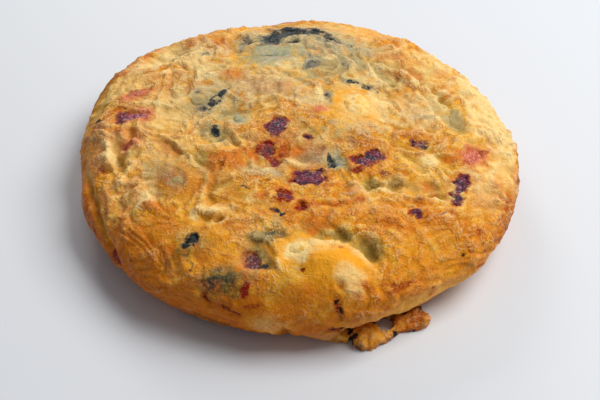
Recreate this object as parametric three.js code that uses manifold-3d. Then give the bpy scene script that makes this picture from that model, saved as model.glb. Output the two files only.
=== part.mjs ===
// A whole Spanish omelette, fried on both sides in a small pan and turned out to lie flat. It is a
// thick round of set egg with lumps of potato under its skin, pieces of chorizo, courgette and potato
// set flush in the top, and a crisp scrap of fried egg that ran out at the base and stayed fused to it.
// The origin is the middle of the flat base, +Z is up, and the crisp scrap is on the -Y side.

import * as THREE from "three";
import { mergeVertices } from "three/addons/utils/BufferGeometryUtils.js";
import Module from "manifold-3d";

const wasm = await Module();
wasm.setup();

// Driving dimensions in millimetres.
const RADIUS = 83.5; // mean radius at the widest line
const THICKNESS = 31.9; // from the base to the top at the middle
const WIDEST = 14; // height of the widest line
const CROWN = 2.55; // exponent of the curve above the widest line, where 2 would be an ellipse
const UNDERCUT = 12.6; // how far the edge of the base lies inside the widest line
const UNDER_BASE = 3; // what is made below the base, then cut off to leave it flat
const FIT_GAP = 0.45; // clear space between the egg and a piece set in it
const PROUD = 0.7; // how far the top of a piece stands out of the egg
const SCRAP_THICKNESS = 2.8; // the crisp scrap at the front
const SCRAP_WAVE = 5; // width of the waves in its top
const SCRAP_WAVE_HEIGHT = 0.9;
const PIECE_UNEVENNESS = 0.1; // how far a piece's sides wander, as a share of its size

// How finely the surfaces are divided.
const TOP_CELLS = 44;
const SIDE_CELLS = 5;
const SECTION_POINTS = 40;
const SECTION_STEPS = 60;
const HEIGHT_TRIES = 12;

// The outline's departures from a circle: the waves round it, with their cosine and sine shares.
const OUTLINE_WAVES = [
  [2, -0.006, -0.0025],
  [3, -0.0008, 0.0082],
  [4, -0.0025, -0.0111],
  [5, 0.009, 0.0002],
  [6, -0.0046, -0.0017],
  [7, -0.0013, 0],
];

// Soft unevenness of the whole skin, as [width of a lump, height].
const UNEVENNESS = [
  [28, 1.5],
  [12, 0.9],
];

// Single forms in the skin. Each lies over "at" (x, y), or at (x, y, z) on the side, is "size" from
// its middle to its rim along and across the direction "turn" in degrees, and is "height" high, or
// deep where that is negative.
const FORMS = [
  { name: "front bulge over a potato", at: [13, -67], size: [15, 9], turn: -25, height: 2.4 },
  { name: "left front belly", at: [-26, -72], size: [14, 9], turn: 20, height: 0.7 },
  { name: "potato under the left skin", at: [-42, -33], size: [13, 9], turn: -35, height: 1.4 },
  { name: "potato at the middle", at: [23, 8], size: [9, 12], turn: 10, height: 1.2 },
  { name: "right shoulder lump", at: [58, 20], size: [7, 14], turn: 10, height: 1.1 },
  { name: "back right fold", at: [41, 29], size: [9, 4], turn: -40, height: 1.6 },
  { name: "left shoulder lump", at: [-73, -5], size: [8, 10], turn: 0, height: 1.2 },
  { name: "back left dent", at: [-56, 48, 25], size: [17, 11], turn: 50, height: -3.4 },
  { name: "back left knob", at: [-44, 59, 24], size: [9, 8], turn: 35, height: 1.4 },
  { name: "low back rim", at: [10, 74, 24], size: [30, 12], turn: 0, height: -1.8 },
  { name: "left notch", at: [-64, -22], size: [6, 7], turn: 70, height: -3.6 },
  { name: "fold above the front left", at: [-28, -51], size: [9, 3.5], turn: 12, height: -2 },
  { name: "pit at the front", at: [-13, -68], size: [8, 7], turn: 0, height: -2.8 },
  { name: "hollow beside the front bulge", at: [26, -58], size: [7, 6], turn: 30, height: -1.8 },
  { name: "pit left of the middle", at: [-29, -9], size: [6, 5], turn: 60, height: -2.6 },
  { name: "pit right of the middle", at: [13, -23], size: [5, 6], turn: 0, height: -2 },
  { name: "first pit on the right", at: [34, -33], size: [5, 4], turn: -20, height: -1.8 },
  { name: "second pit on the right", at: [24, -32], size: [4, 4], turn: 0, height: -1.5 },
  { name: "third pit on the right", at: [46, -35], size: [5, 6], turn: 0, height: -1.8 },
  { name: "browned hollow at the back", at: [42, 38], size: [11, 5], turn: -45, height: -1.8 },
  { name: "hollow at the right", at: [60, 5], size: [5, 8], turn: 5, height: -1.5 },
  { name: "foot that ran out at the front", at: [12, -80, 4], size: [10, 6], turn: 0, height: 1.6 },
  { name: "side under the left lip", at: [-76, -34, 12], size: [18, 8], turn: -65, height: 1.4 },
  { name: "flat left side", at: [-80, 13, 20], size: [22, 13], turn: 80, height: -1.6 },
  { name: "flat right side", at: [81, -10, 19], size: [18, 12], turn: 80, height: -1.9 },
  { name: "full right back side", at: [68, 32, 23], size: [26, 10], turn: -62, height: 1.1 },
  { name: "full right front side", at: [61, -56, 13], size: [28, 9], turn: 46, height: 1.3 },
  { name: "full left front side", at: [-56, -61, 11], size: [24, 9], turn: -46, height: 0.9 },
];

// Creases, each a line of (x, y, z) places with a groove of "width" from its middle and "depth".
const CREASES = [
  {
    name: "under the lip on the left",
    path: [[-77, -15, 18], [-74, -27, 20.5], [-71, -37, 20.5], [-68, -46, 18.5], [-62, -56, 15]],
    width: 3.4,
    depth: 2,
  },
  {
    name: "behind the back right fold",
    path: [[38, 38, 29], [45, 33, 29], [49, 27, 29]],
    width: 3,
    depth: 1.4,
  },
  { name: "right shoulder", path: [[52, 26, 29], [57, 13, 28]], width: 3, depth: 1.3 },
  { name: "far right shoulder", path: [[62, 27, 26], [66, 24, 25]], width: 3, depth: 1.2 },
  { name: "burnt crack at the front", path: [[14, -76, 22], [15, -82, 15]], width: 2.6, depth: 2 },
];

// Pieces set in the top. Each is "size" long, wide and thick, with its top over "at", its length
// along "turn" in degrees, its corners as square as "edge", and bent to the radius "bend" if it has one.
const CHORIZO = [
  { at: [-7, -5], size: [10.5, 8, 6], turn: 50, edge: 5 },
  { at: [-11, -18], size: [9, 6, 6], turn: 75, edge: 5 },
  { at: [4.5, -31.5], size: [12, 7, 6], turn: 18, edge: 5 },
  { at: [26, -21], size: [13, 6.5, 6], turn: 32, edge: 5 },
  { at: [-4.5, -40.5], size: [6.5, 4.5, 5], turn: 10, edge: 4 },
  { at: [2, -46], size: [4.5, 4, 4], turn: 70, edge: 3 },
  { at: [-61, 2.5], size: [13, 6.5, 6], turn: 8, edge: 4 },
  { at: [-62, 17.5], size: [12, 4.5, 5], turn: 12, edge: 4 },
  { at: [57.2, -32.5], size: [16, 5.5, 6], turn: 77, edge: 5 },
  { at: [45, -10.5], size: [7.5, 4.5, 5], turn: 10, edge: 4 },
  { at: [64, -14], size: [11, 7.5, 6], turn: 35, edge: 4 },
  { at: [-13.5, -68.5], size: [7.5, 8, 6], turn: 0, edge: 4 },
];
const COURGETTE_SKIN = [
  { at: [3, 61.5], size: [40, 5, 4], turn: -8, edge: 4, bend: 17, taper: 0.45 },
  { at: [-31.5, 9], size: [17, 3, 4], turn: 62, edge: 3, bend: -26 },
  { at: [-30.5, -8], size: [7.5, 4.5, 4], turn: 55, edge: 3 },
  { at: [12, -24], size: [8, 4, 4], turn: 70, edge: 3 },
  { at: [-34, -60.5], size: [6, 5, 4], turn: 20, edge: 3 },
  { at: [24, 21.5], size: [12, 3.5, 4], turn: -28, edge: 3 },
];
const COURGETTE_FLESH = [
  { at: [-11.5, 45], size: [20, 11, 4], turn: -12, edge: 3 },
  { at: [4.5, 34.5], size: [7, 9, 4], turn: -20, edge: 3 },
  { at: [-22, 0], size: [5, 6, 4], turn: 10, edge: 3 },
  { at: [-38, 11], size: [7, 8, 4], turn: 20, edge: 3 },
  { at: [60.5, 8], size: [7, 13, 4], turn: 5, edge: 3 },
];
const POTATO = [
  { at: [22, 8.5], size: [12, 17, 7], turn: 8, edge: 3 },
  { at: [1.5, -64], size: [9, 7, 7], turn: 20, edge: 3 },
  { at: [-41, -35], size: [6, 6, 5], turn: 30, edge: 3 },
];

// The crisp scrap in plan: its outer edge, which starts and ends under the omelette, and the hole
// that is left between it and the omelette.
const SCRAP_EDGE = [
  [-9, -69],
  [-3, -73],
  [4, -75.4],
  [10, -78.2],
  [15.5, -79.4],
  [18.5, -78.8],
  [17.8, -75.4],
  [19.6, -75],
  [20.9, -77.6],
  [20.2, -81.4],
  [23.6, -83],
  [27.6, -81.6],
  [31.4, -78.4],
  [36, -75.6],
  [43.6, -74],
  [46.4, -71.4],
  [44, -68],
  [37, -65],
  [14, -66],
];
const SCRAP_HOLE = [
  [24.6, -71.6],
  [27, -74.4],
  [30.8, -76.4],
  [33, -74.4],
  [32.4, -70.4],
];

const COLOURS = {
  egg: 0xd8a04a,
  chorizo: 0x8c2f2a,
  courgetteSkin: 0x2f3c38,
  courgetteFlesh: 0xa9ad84,
  potato: 0xe6c878,
};

const RIGHT_ANGLE = Math.PI / 2;
const radians = THREE.MathUtils.degToRad;

// A repeatable number from 0 to 1 for each whole-numbered point.
function hash(x, y, z) {
  const mixed = Math.sin(x * 127.1 + y * 311.7 + z * 74.7) * 43758.5453;
  return mixed - Math.floor(mixed);
}

// Smooth noise from -1 to 1, with lumps one unit wide.
function noise(x, y, z) {
  const corner = [x, y, z].map(Math.floor);
  const [u, v, w] = [x, y, z].map((value, i) => {
    const part = value - corner[i];
    return part * part * (3 - 2 * part);
  });
  const mix = THREE.MathUtils.lerp;
  const at = (i, j, k) => hash(corner[0] + i, corner[1] + j, corner[2] + k);
  const row = (j, k) => mix(at(0, j, k), at(1, j, k), u);
  const sheet = (k) => mix(row(0, k), row(1, k), v);
  return 2 * mix(sheet(0), sheet(1), w) - 1;
}

// The outline's radius in the direction "angle".
function outlineRadius(angle) {
  const waves = OUTLINE_WAVES.map(([k, c, s]) => c * Math.cos(k * angle) + s * Math.sin(k * angle));
  return RADIUS * (1 + waves.reduce((sum, wave) => sum + wave, 0));
}

// The section of the omelette on a circle of the mean radius, as two curves of (radius, height):
// from the top's middle to the widest line, and on round the lower corner to under the base.
function sectionCurve(pointAt) {
  const turns = Array.from({ length: SECTION_POINTS + 1 }, (_, i) => (i / SECTION_POINTS) * RIGHT_ANGLE);
  return new THREE.SplineCurve(turns.map(pointAt));
}
const upperSection = sectionCurve((turn) => {
  const out = Math.sin(turn) ** (2 / CROWN);
  const up = Math.max(Math.cos(turn), 0) ** (2 / CROWN);
  return new THREE.Vector2(RADIUS * out, WIDEST + (THICKNESS - WIDEST) * up);
});
const lowerSection = sectionCurve((turn) => {
  const height = (WIDEST + UNDER_BASE) * (1 - Math.sin(turn)) - UNDER_BASE;
  const angle = Math.asin(THREE.MathUtils.clamp(1 - height / WIDEST, 0, 1));
  return new THREE.Vector2(RADIUS - UNDERCUT * (1 - Math.cos(angle)), height);
});

// A place on the smooth skin, "along" a section curve from 0 to 1 in the direction "angle".
function skinPlace(section, along, angle) {
  const { x: radius, y: height } = section.getPointAt(along);
  const { x: outward, y: upward } = section.getTangentAt(along);
  const stretch = outlineRadius(angle) - RADIUS;
  const reach = section === upperSection ? radius * (1 + stretch / RADIUS) : radius + stretch;
  return {
    point: new THREE.Vector3(reach * Math.cos(angle), reach * Math.sin(angle), height),
    normal: new THREE.Vector3(-upward * Math.cos(angle), -upward * Math.sin(angle), outward),
  };
}

// Even steps down both section curves.
const sectionSteps = [upperSection, lowerSection].flatMap((section) =>
  Array.from({ length: SECTION_STEPS + 1 }, (_, i) => {
    const along = i / SECTION_STEPS;
    return { section, along, at: section.getPointAt(along), ahead: section.getTangentAt(along) };
  }),
);

// The place on the smooth skin that is nearest to a point.
function nearestSkin(point) {
  const angle = Math.atan2(point.y, point.x);
  const radius = Math.hypot(point.x, point.y) * (RADIUS / outlineRadius(angle));
  const flat = new THREE.Vector2(radius, point.z);
  const best = sectionSteps.reduce((a, b) => (b.at.distanceTo(flat) < a.at.distanceTo(flat) ? b : a));
  const further = flat.sub(best.at).dot(best.ahead) / best.section.getLength();
  const along = THREE.MathUtils.clamp(best.along + further, 0, 1);
  return skinPlace(best.section, along, angle);
}

// The skin at (x, y, z), or where no height is given over (x, y) on the top, which takes a few steps.
function skinAt([x, y, z]) {
  if (z !== undefined) return nearestSkin(new THREE.Vector3(x, y, z));
  let place = nearestSkin(new THREE.Vector3(x, y, THICKNESS));
  for (let i = 0; i < HEIGHT_TRIES; i++) place = nearestSkin(new THREE.Vector3(x, y, place.point.z));
  return place;
}

// One at the middle of a form, easing to nothing at its rim.
function bell(distance) {
  return distance < 1 ? (1 - distance * distance) ** 2 : 0;
}

// Two directions in the skin at a place: one over the direction "turn" in plan, one across it.
function directionsAt(place, turn) {
  const wanted = new THREE.Vector3(Math.cos(radians(turn)), Math.sin(radians(turn)), 0);
  const along = wanted.projectOnPlane(place.normal).normalize();
  return [along, new THREE.Vector3().crossVectors(place.normal, along)];
}

const forms = FORMS.map((form) => {
  const place = skinAt(form.at);
  return { ...form, centre: place.point, directions: directionsAt(place, form.turn) };
});
const creases = CREASES.map(({ path, width, depth }) => ({
  width,
  depth,
  lines: path.slice(1).map((end, i) => {
    return new THREE.Line3(new THREE.Vector3(...path[i]), new THREE.Vector3(...end));
  }),
}));

// How far the real skin stands out from the smooth one at a point.
function relief(point) {
  const waves = UNEVENNESS.map(([width, height], i) => {
    return height * noise(point.x / width + 5 * i, point.y / width, point.z / width);
  });
  const lumps = forms.map(({ centre, directions, size, height }) => {
    const offset = point.clone().sub(centre);
    const [a, b] = directions.map((direction, i) => offset.dot(direction) / size[i]);
    const off = offset.length() - Math.hypot(a * size[0], b * size[1]);
    return height * bell(Math.hypot(a, b, off / size[1]));
  });
  const nearest = new THREE.Vector3();
  const grooves = creases.map(({ width, depth, lines }) => {
    const gaps = lines.map((line) => line.closestPointToPoint(point, true, nearest).distanceTo(point));
    return -depth * bell(Math.min(...gaps) / width);
  });
  return [...waves, ...lumps, ...grooves].reduce((sum, part) => sum + part, 0);
}

// A geometry's solid, from its positions alone.
function solidOf(geometry) {
  const bare = geometry.clone();
  bare.deleteAttribute("normal");
  bare.deleteAttribute("uv");
  const merged = mergeVertices(bare, 1e-4);
  const mesh = new wasm.Mesh({
    numProp: 3,
    vertProperties: Float32Array.from(merged.attributes.position.array),
    triVerts: Uint32Array.from(merged.index.array),
  });
  return new wasm.Manifold(mesh);
}

function geometryOf(solid) {
  const mesh = solid.getMesh();
  const geometry = new THREE.BufferGeometry();
  geometry.setAttribute("position", new THREE.BufferAttribute(mesh.vertProperties, 3));
  geometry.setIndex(new THREE.BufferAttribute(mesh.triVerts, 1));
  geometry.computeVertexNormals();
  return geometry;
}

// Moves every point of a geometry to where "move" puts it.
function reshape(geometry, move) {
  const positions = geometry.getAttribute("position");
  const point = new THREE.Vector3();
  for (let i = 0; i < positions.count; i++) {
    const { x, y, z } = move(point.fromBufferAttribute(positions, i));
    positions.setXYZ(i, x, y, z);
  }
  return geometry;
}

// The round of egg: a cube whose top is spread over the upper skin and its sides down the lower one.
function makeRound() {
  const cube = new THREE.BoxGeometry(2, 2, 2, TOP_CELLS, TOP_CELLS, SIDE_CELLS);
  return reshape(cube, ({ x, y, z }) => {
    const across = x * Math.sqrt(1 - (y * y) / 2);
    const back = y * Math.sqrt(1 - (x * x) / 2);
    const out = Math.min(Math.hypot(across, back), 1);
    const angle = Math.atan2(back, across);
    const onTop = z > 1 - 1e-6;
    const place = onTop
      ? skinPlace(upperSection, out, angle)
      : skinPlace(lowerSection, (1 - z) / 2, angle);
    const under = z < -1 + 1e-6 ? out : 1;
    const point = place.point.addScaledVector(place.normal, relief(place.point));
    return new THREE.Vector3(point.x * under, point.y * under, z < -1 + 1e-6 ? -UNDER_BASE : point.z);
  });
}

// The crisp scrap: a thin wavy plate that lies on the same surface as the base.
function makeScrap() {
  const edge = new THREE.Shape();
  edge.moveTo(...SCRAP_EDGE[0]);
  edge.splineThru(SCRAP_EDGE.slice(1).map((point) => new THREE.Vector2(...point)));
  edge.closePath();
  const hole = new THREE.Path();
  hole.moveTo(...SCRAP_HOLE.at(-1));
  hole.splineThru(SCRAP_HOLE.map((point) => new THREE.Vector2(...point)));
  edge.holes.push(hole);
  const plate = new THREE.ExtrudeGeometry(edge, {
    depth: UNDER_BASE + SCRAP_THICKNESS,
    curveSegments: 2,
    bevelEnabled: false,
    steps: 2,
  });
  plate.translate(0, 0, -UNDER_BASE);
  return reshape(plate, (point) => {
    const wave = noise(point.x / SCRAP_WAVE, point.y / SCRAP_WAVE, point.z / SCRAP_WAVE);
    if (point.z > 0) point.z += SCRAP_WAVE_HEIGHT * wave;
    return point;
  });
}

// A piece set in the skin, or, with a "gap", the pocket that it sits in.
function makePiece({ at, size, turn, edge, bend, taper = 0 }, gap) {
  const [length, width, thickness] = size.map((side) => side / 2 + gap);
  const cuts = Math.max(3, Math.round(size[0] / 3));
  const block = new THREE.BoxGeometry(2, 2, 2, cuts, 3, 2);
  const place = skinAt(at);
  const [along, across] = directionsAt(place, turn);
  return reshape(block, (point) => {
    const round = [point.x, point.y, point.z].reduce((sum, side) => sum + Math.abs(side) ** edge, 0);
    point.multiplyScalar(round ** (-1 / edge));
    const wander = noise(point.x * 2 + at[0], point.y * 2 + at[1], point.z * 2);
    const uneven = 1 + PIECE_UNEVENNESS * wander;
    let x = point.x * length * uneven;
    let y = point.y * width * uneven * (1 - taper * point.x);
    if (bend) [x, y] = [(bend + y) * Math.sin(x / bend), (bend + y) * Math.cos(x / bend) - bend];
    const flat = place.point.clone().addScaledVector(along, x).addScaledVector(across, y);
    const under = nearestSkin(flat);
    const height = relief(under.point) + PROUD - size[2] / 2 + point.z * thickness;
    return under.point.addScaledVector(under.normal, height);
  });
}

const kinds = [
  { name: "chorizo", pieces: CHORIZO, colour: COLOURS.chorizo, roughness: 0.55 },
  { name: "courgette_skin", pieces: COURGETTE_SKIN, colour: COLOURS.courgetteSkin, roughness: 0.5 },
  { name: "courgette_flesh", pieces: COURGETTE_FLESH, colour: COLOURS.courgetteFlesh, roughness: 0.5 },
  { name: "potato", pieces: POTATO, colour: COLOURS.potato, roughness: 0.6 },
];
const pieces = kinds.flatMap((kind) => kind.pieces);

const omelette = new THREE.Group();

function add(name, geometry, colour, roughness) {
  const material = new THREE.MeshStandardMaterial({ color: colour, roughness, metalness: 0 });
  const mesh = new THREE.Mesh(geometry, material);
  mesh.name = name;
  omelette.add(mesh);
}

const aboveBase = new THREE.BoxGeometry(3 * RADIUS, 3 * RADIUS, 3 * THICKNESS);
aboveBase.translate(0, 0, 1.5 * THICKNESS);
const egg = pieces.reduce(
  (solid, piece) => solid.subtract(solidOf(makePiece(piece, FIT_GAP))),
  solidOf(makeRound()).add(solidOf(makeScrap())).intersect(solidOf(aboveBase)),
);
add("egg", geometryOf(egg), COLOURS.egg, 0.6);
for (const kind of kinds) {
  kind.pieces.forEach((piece, i) => {
    add(`${kind.name}_${i + 1}`, makePiece(piece, 0), kind.colour, kind.roughness);
  });
}

export default omelette;
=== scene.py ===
import math

import bmesh
import bpy
import numpy as np
from mathutils import Matrix, Vector, kdtree, noise
from mathutils.bvhtree import BVHTree


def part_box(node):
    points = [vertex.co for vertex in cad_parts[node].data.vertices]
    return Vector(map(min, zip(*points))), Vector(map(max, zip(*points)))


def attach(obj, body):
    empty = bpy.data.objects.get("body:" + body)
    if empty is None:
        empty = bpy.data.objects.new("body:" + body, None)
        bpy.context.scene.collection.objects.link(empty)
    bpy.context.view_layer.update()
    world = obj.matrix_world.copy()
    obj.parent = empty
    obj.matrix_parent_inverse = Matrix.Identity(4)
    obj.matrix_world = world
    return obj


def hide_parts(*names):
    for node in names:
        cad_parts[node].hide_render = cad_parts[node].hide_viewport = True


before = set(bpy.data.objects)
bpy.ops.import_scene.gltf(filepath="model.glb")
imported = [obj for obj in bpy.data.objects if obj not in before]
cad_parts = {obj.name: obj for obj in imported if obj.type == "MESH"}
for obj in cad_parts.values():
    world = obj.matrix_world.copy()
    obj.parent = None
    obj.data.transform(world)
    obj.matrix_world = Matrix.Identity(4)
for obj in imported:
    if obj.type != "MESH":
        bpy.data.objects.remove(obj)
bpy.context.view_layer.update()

# The camera looks down on the front of the omelette through a 60 mm lens, from a little under 400 mm
# away, and is rolled slightly. All lengths in this file are in millimetres until a mesh is finished.
MM = 0.001
CAMERA_TILT = math.radians(42.51)
CAMERA_ROLL = math.radians(1.38)
CAMERA_DISTANCE = 382.7
CAMERA_TARGET = Vector((1.492, -10.812, 0))

camera = bpy.data.objects.new("camera", bpy.data.cameras.new("camera"))
bpy.context.scene.collection.objects.link(camera)
camera.data.lens = 60
camera.data.sensor_width = 36
forward = Vector((0, math.cos(CAMERA_TILT), -math.sin(CAMERA_TILT)))
upward = Vector((0, math.sin(CAMERA_TILT), math.cos(CAMERA_TILT)))
sideways = Vector((1, 0, 0))
camera_x = math.cos(CAMERA_ROLL) * sideways + math.sin(CAMERA_ROLL) * upward
camera_y = math.cos(CAMERA_ROLL) * upward - math.sin(CAMERA_ROLL) * sideways
turned = Matrix((camera_x, camera_y, -forward)).transposed().to_4x4()
camera.matrix_world = Matrix.Translation((CAMERA_TARGET - CAMERA_DISTANCE * forward) * MM) @ turned
bpy.context.scene.camera = camera
bpy.context.scene.view_settings.view_transform = "Standard"


# The floor is a plain pale sheet that the omelette lies on, only for its shadow. It isn't part of
# the omelette.
def linear(colour):
    """An sRGB hex colour as the linear one that Blender works in."""
    parts = [int(colour[i : i + 2], 16) / 255 for i in (0, 2, 4)]
    return (*[p / 12.92 if p <= 0.04045 else ((p + 0.055) / 1.055) ** 2.4 for p in parts], 1)


def add(tree, kind, inputs=(), output=0, stops=(), **settings):
    """Adds a node with its settings, links or sets its inputs, by name or in their order, and returns one
    of its outputs. Stops are a colour ramp's (place, colour) pairs, and colours are hex."""
    made = tree.nodes.new("ShaderNode" + kind)
    for name, value in settings.items():
        setattr(made, name, value)
    for i, (place, colour) in enumerate(stops):
        elements = made.color_ramp.elements
        element = elements[i] if i < 2 else elements.new(place)
        element.position, element.color = place, linear(colour)
    for name, value in inputs.items() if isinstance(inputs, dict) else enumerate(inputs):
        if isinstance(value, bpy.types.NodeSocket):
            tree.links.new(value, made.inputs[name])
        else:
            made.inputs[name].default_value = linear(value) if isinstance(value, str) else value
    return made.outputs[output] if made.outputs else None


def new_material(name, surface):
    """A material with one Principled shader, its nodes, the shader, and the object's coordinates."""
    material = bpy.data.materials.new(name)
    material.use_nodes = True
    tree = material.node_tree
    tree.nodes.clear()
    shaded = add(tree, "BsdfPrincipled", surface)
    add(tree, "OutputMaterial", {"Surface": shaded})
    return material, tree, shaded.node, add(tree, "TexCoord", output="Object")


FLOOR_HALF = 3.0
FLOOR_DROP = 0.05
floor_mesh = bmesh.new()
bmesh.ops.create_grid(floor_mesh, x_segments=1, y_segments=1, size=FLOOR_HALF)
bmesh.ops.translate(floor_mesh, verts=floor_mesh.verts, vec=(0, 0, -FLOOR_DROP * MM))
floor = bpy.data.objects.new("floor", bpy.data.meshes.new("floor"))
floor_mesh.to_mesh(floor.data)
floor_mesh.free()
bpy.context.scene.collection.objects.link(floor)
floor_paint, _, _, _ = new_material("pale matt floor", {"Base Color": "E1E7F0", "Roughness": 0.6})
floor.data.materials.append(floor_paint)

# Soft daylight from a window behind and to the right, which lights the top and leaves the front side
# in soft shade, and a pale room all round. Each lamp: where it stands, its width, its power.
LAMPS = {
    "window": ((0.59, 0.18, 0.88), 0.72, 11.15),
    "far wall": ((-0.25, 0.9, 0.5), 0.4, 2.9),
}
ROOM_COLOUR = "F2F2F4"
ROOM_STRENGTH = 0.215

world = bpy.data.worlds.new("pale room")
bpy.context.scene.world = world
world.use_nodes = True
world.node_tree.nodes["Background"].inputs["Color"].default_value = linear(ROOM_COLOUR)
world.node_tree.nodes["Background"].inputs["Strength"].default_value = ROOM_STRENGTH
for name, (at, size, power) in LAMPS.items():
    lamp = bpy.data.objects.new(name, bpy.data.lights.new(name, "AREA"))
    lamp.data.shape = "SQUARE"
    lamp.data.size = size
    lamp.data.energy = power
    lamp.data.color = linear("FFFBF5")[:3]
    facing_middle = (-Vector(at)).to_track_quat("-Z", "Y").to_matrix().to_4x4()
    lamp.matrix_world = Matrix.Translation(at) @ facing_middle
    bpy.context.scene.collection.objects.link(lamp)


# The round of egg: beaten egg set round slices of potato, fried on both sides in a small pan, so its
# skin is golden with browned spots, crinkled and folded, and puffed up where steam lifted it. Its
# sizes, outline and forms are those of the CAD solid, in the same frame.
RADIUS = 83.5
THICKNESS = 31.9
# How high its widest line is, how square its shoulder is, and how far the base lies in from that line.
WIDEST = 14.0
CROWN = 2.55
UNDERCUT = 12.6
# How the outline swells and dips: the number of waves round it, and their cosine and sine shares.
OUTLINE_WAVES = [
    (2, -0.006, -0.0025), (3, -0.0008, 0.0082), (4, -0.0025, -0.0111), (5, 0.009, 0.0002),
    (6, -0.0046, -0.0017), (7, -0.0013, 0),
]
# Soft lumps all over: their width, how high they stand.
UNEVENNESS = [(28, 1.5), (12, 0.9)]
# Forms in the skin, each a spot: its middle, on the top where it has no height, its half sizes and
# its turn in degrees; and how high it stands.
FORMS = [
    (13, -70.5, 16, 9.5, -22, 3.7), (12, -78, 22, 17, 8, 0, 2), (-25, -22.5, 9, 7, -8, 1.3),
    (-26, -72, 14, 9, 20, 0.7), (-42, -33, 13, 9, -35, 1.4), (23, 8, 9, 12, 10, 1.2),
    (58, 20, 7, 14, 10, 1.1), (41, 29, 9, 4, -40, 1.6), (-73, -5, 8, 10, 0, 1.2),
    (-56, 48, 25, 17, 11, 50, -4.6), (-44, 59, 24, 9, 8, 35, 1.4), (6, 74, 24, 34, 12, 0, -2.4),
    (-64.5, -19.5, 7, 3.2, -66, -2.6), (-61.5, -6.5, 4, 3.4, -50, -1.6), (-28, -52.5, 8, 3, 12, -2),
    (-13, -68, 8, 7, 0, -2.8), (25, -62.5, 5.5, 7, 30, -2.8), (16, -58.5, 6, 3, -10, -1.2),
    (-29, -9, 6, 5, 60, -2.6), (13, -23, 5, 6, 0, -2), (35, -32, 4.5, 4, -20, -1.8),
    (26, -33, 3.5, 4.5, 0, -1.7), (47.5, -33, 4, 5, 0, -1.8), (42, 38, 11, 5, -45, -1.8),
    (60, 5, 5, 8, 5, -1.5), (12, -80, 4, 10, 6, 0, 1.6), (-76, -34, 12, 18, 8, -65, 1.4),
    (-80, 13, 20, 22, 13, 80, -1.6), (81, -10, 19, 18, 12, 80, -1.9), (68, 32, 23, 26, 10, -62, 1.1),
    (61, -56, 13, 28, 9, 46, 1.3), (-56, -61, 11, 24, 9, -46, 0.9),
]
# Creases: the path, the width from its middle, the depth.
CREASES = [
    ([(-77, -15, 18), (-74, -27, 20.5), (-71, -37, 20.5), (-68, -46, 18.5), (-62, -56, 15)], 3.4, 2),
    ([(38, 38, 29), (45, 33, 29), (49, 27, 29)], 3, 1.4), ([(52, 26, 29), (57, 13, 28)], 3, 1.3),
    ([(62, 27, 26), (66, 24, 25)], 3, 1.2), ([(14, -76, 22), (15, -82, 15)], 2.6, 2),
]
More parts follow.
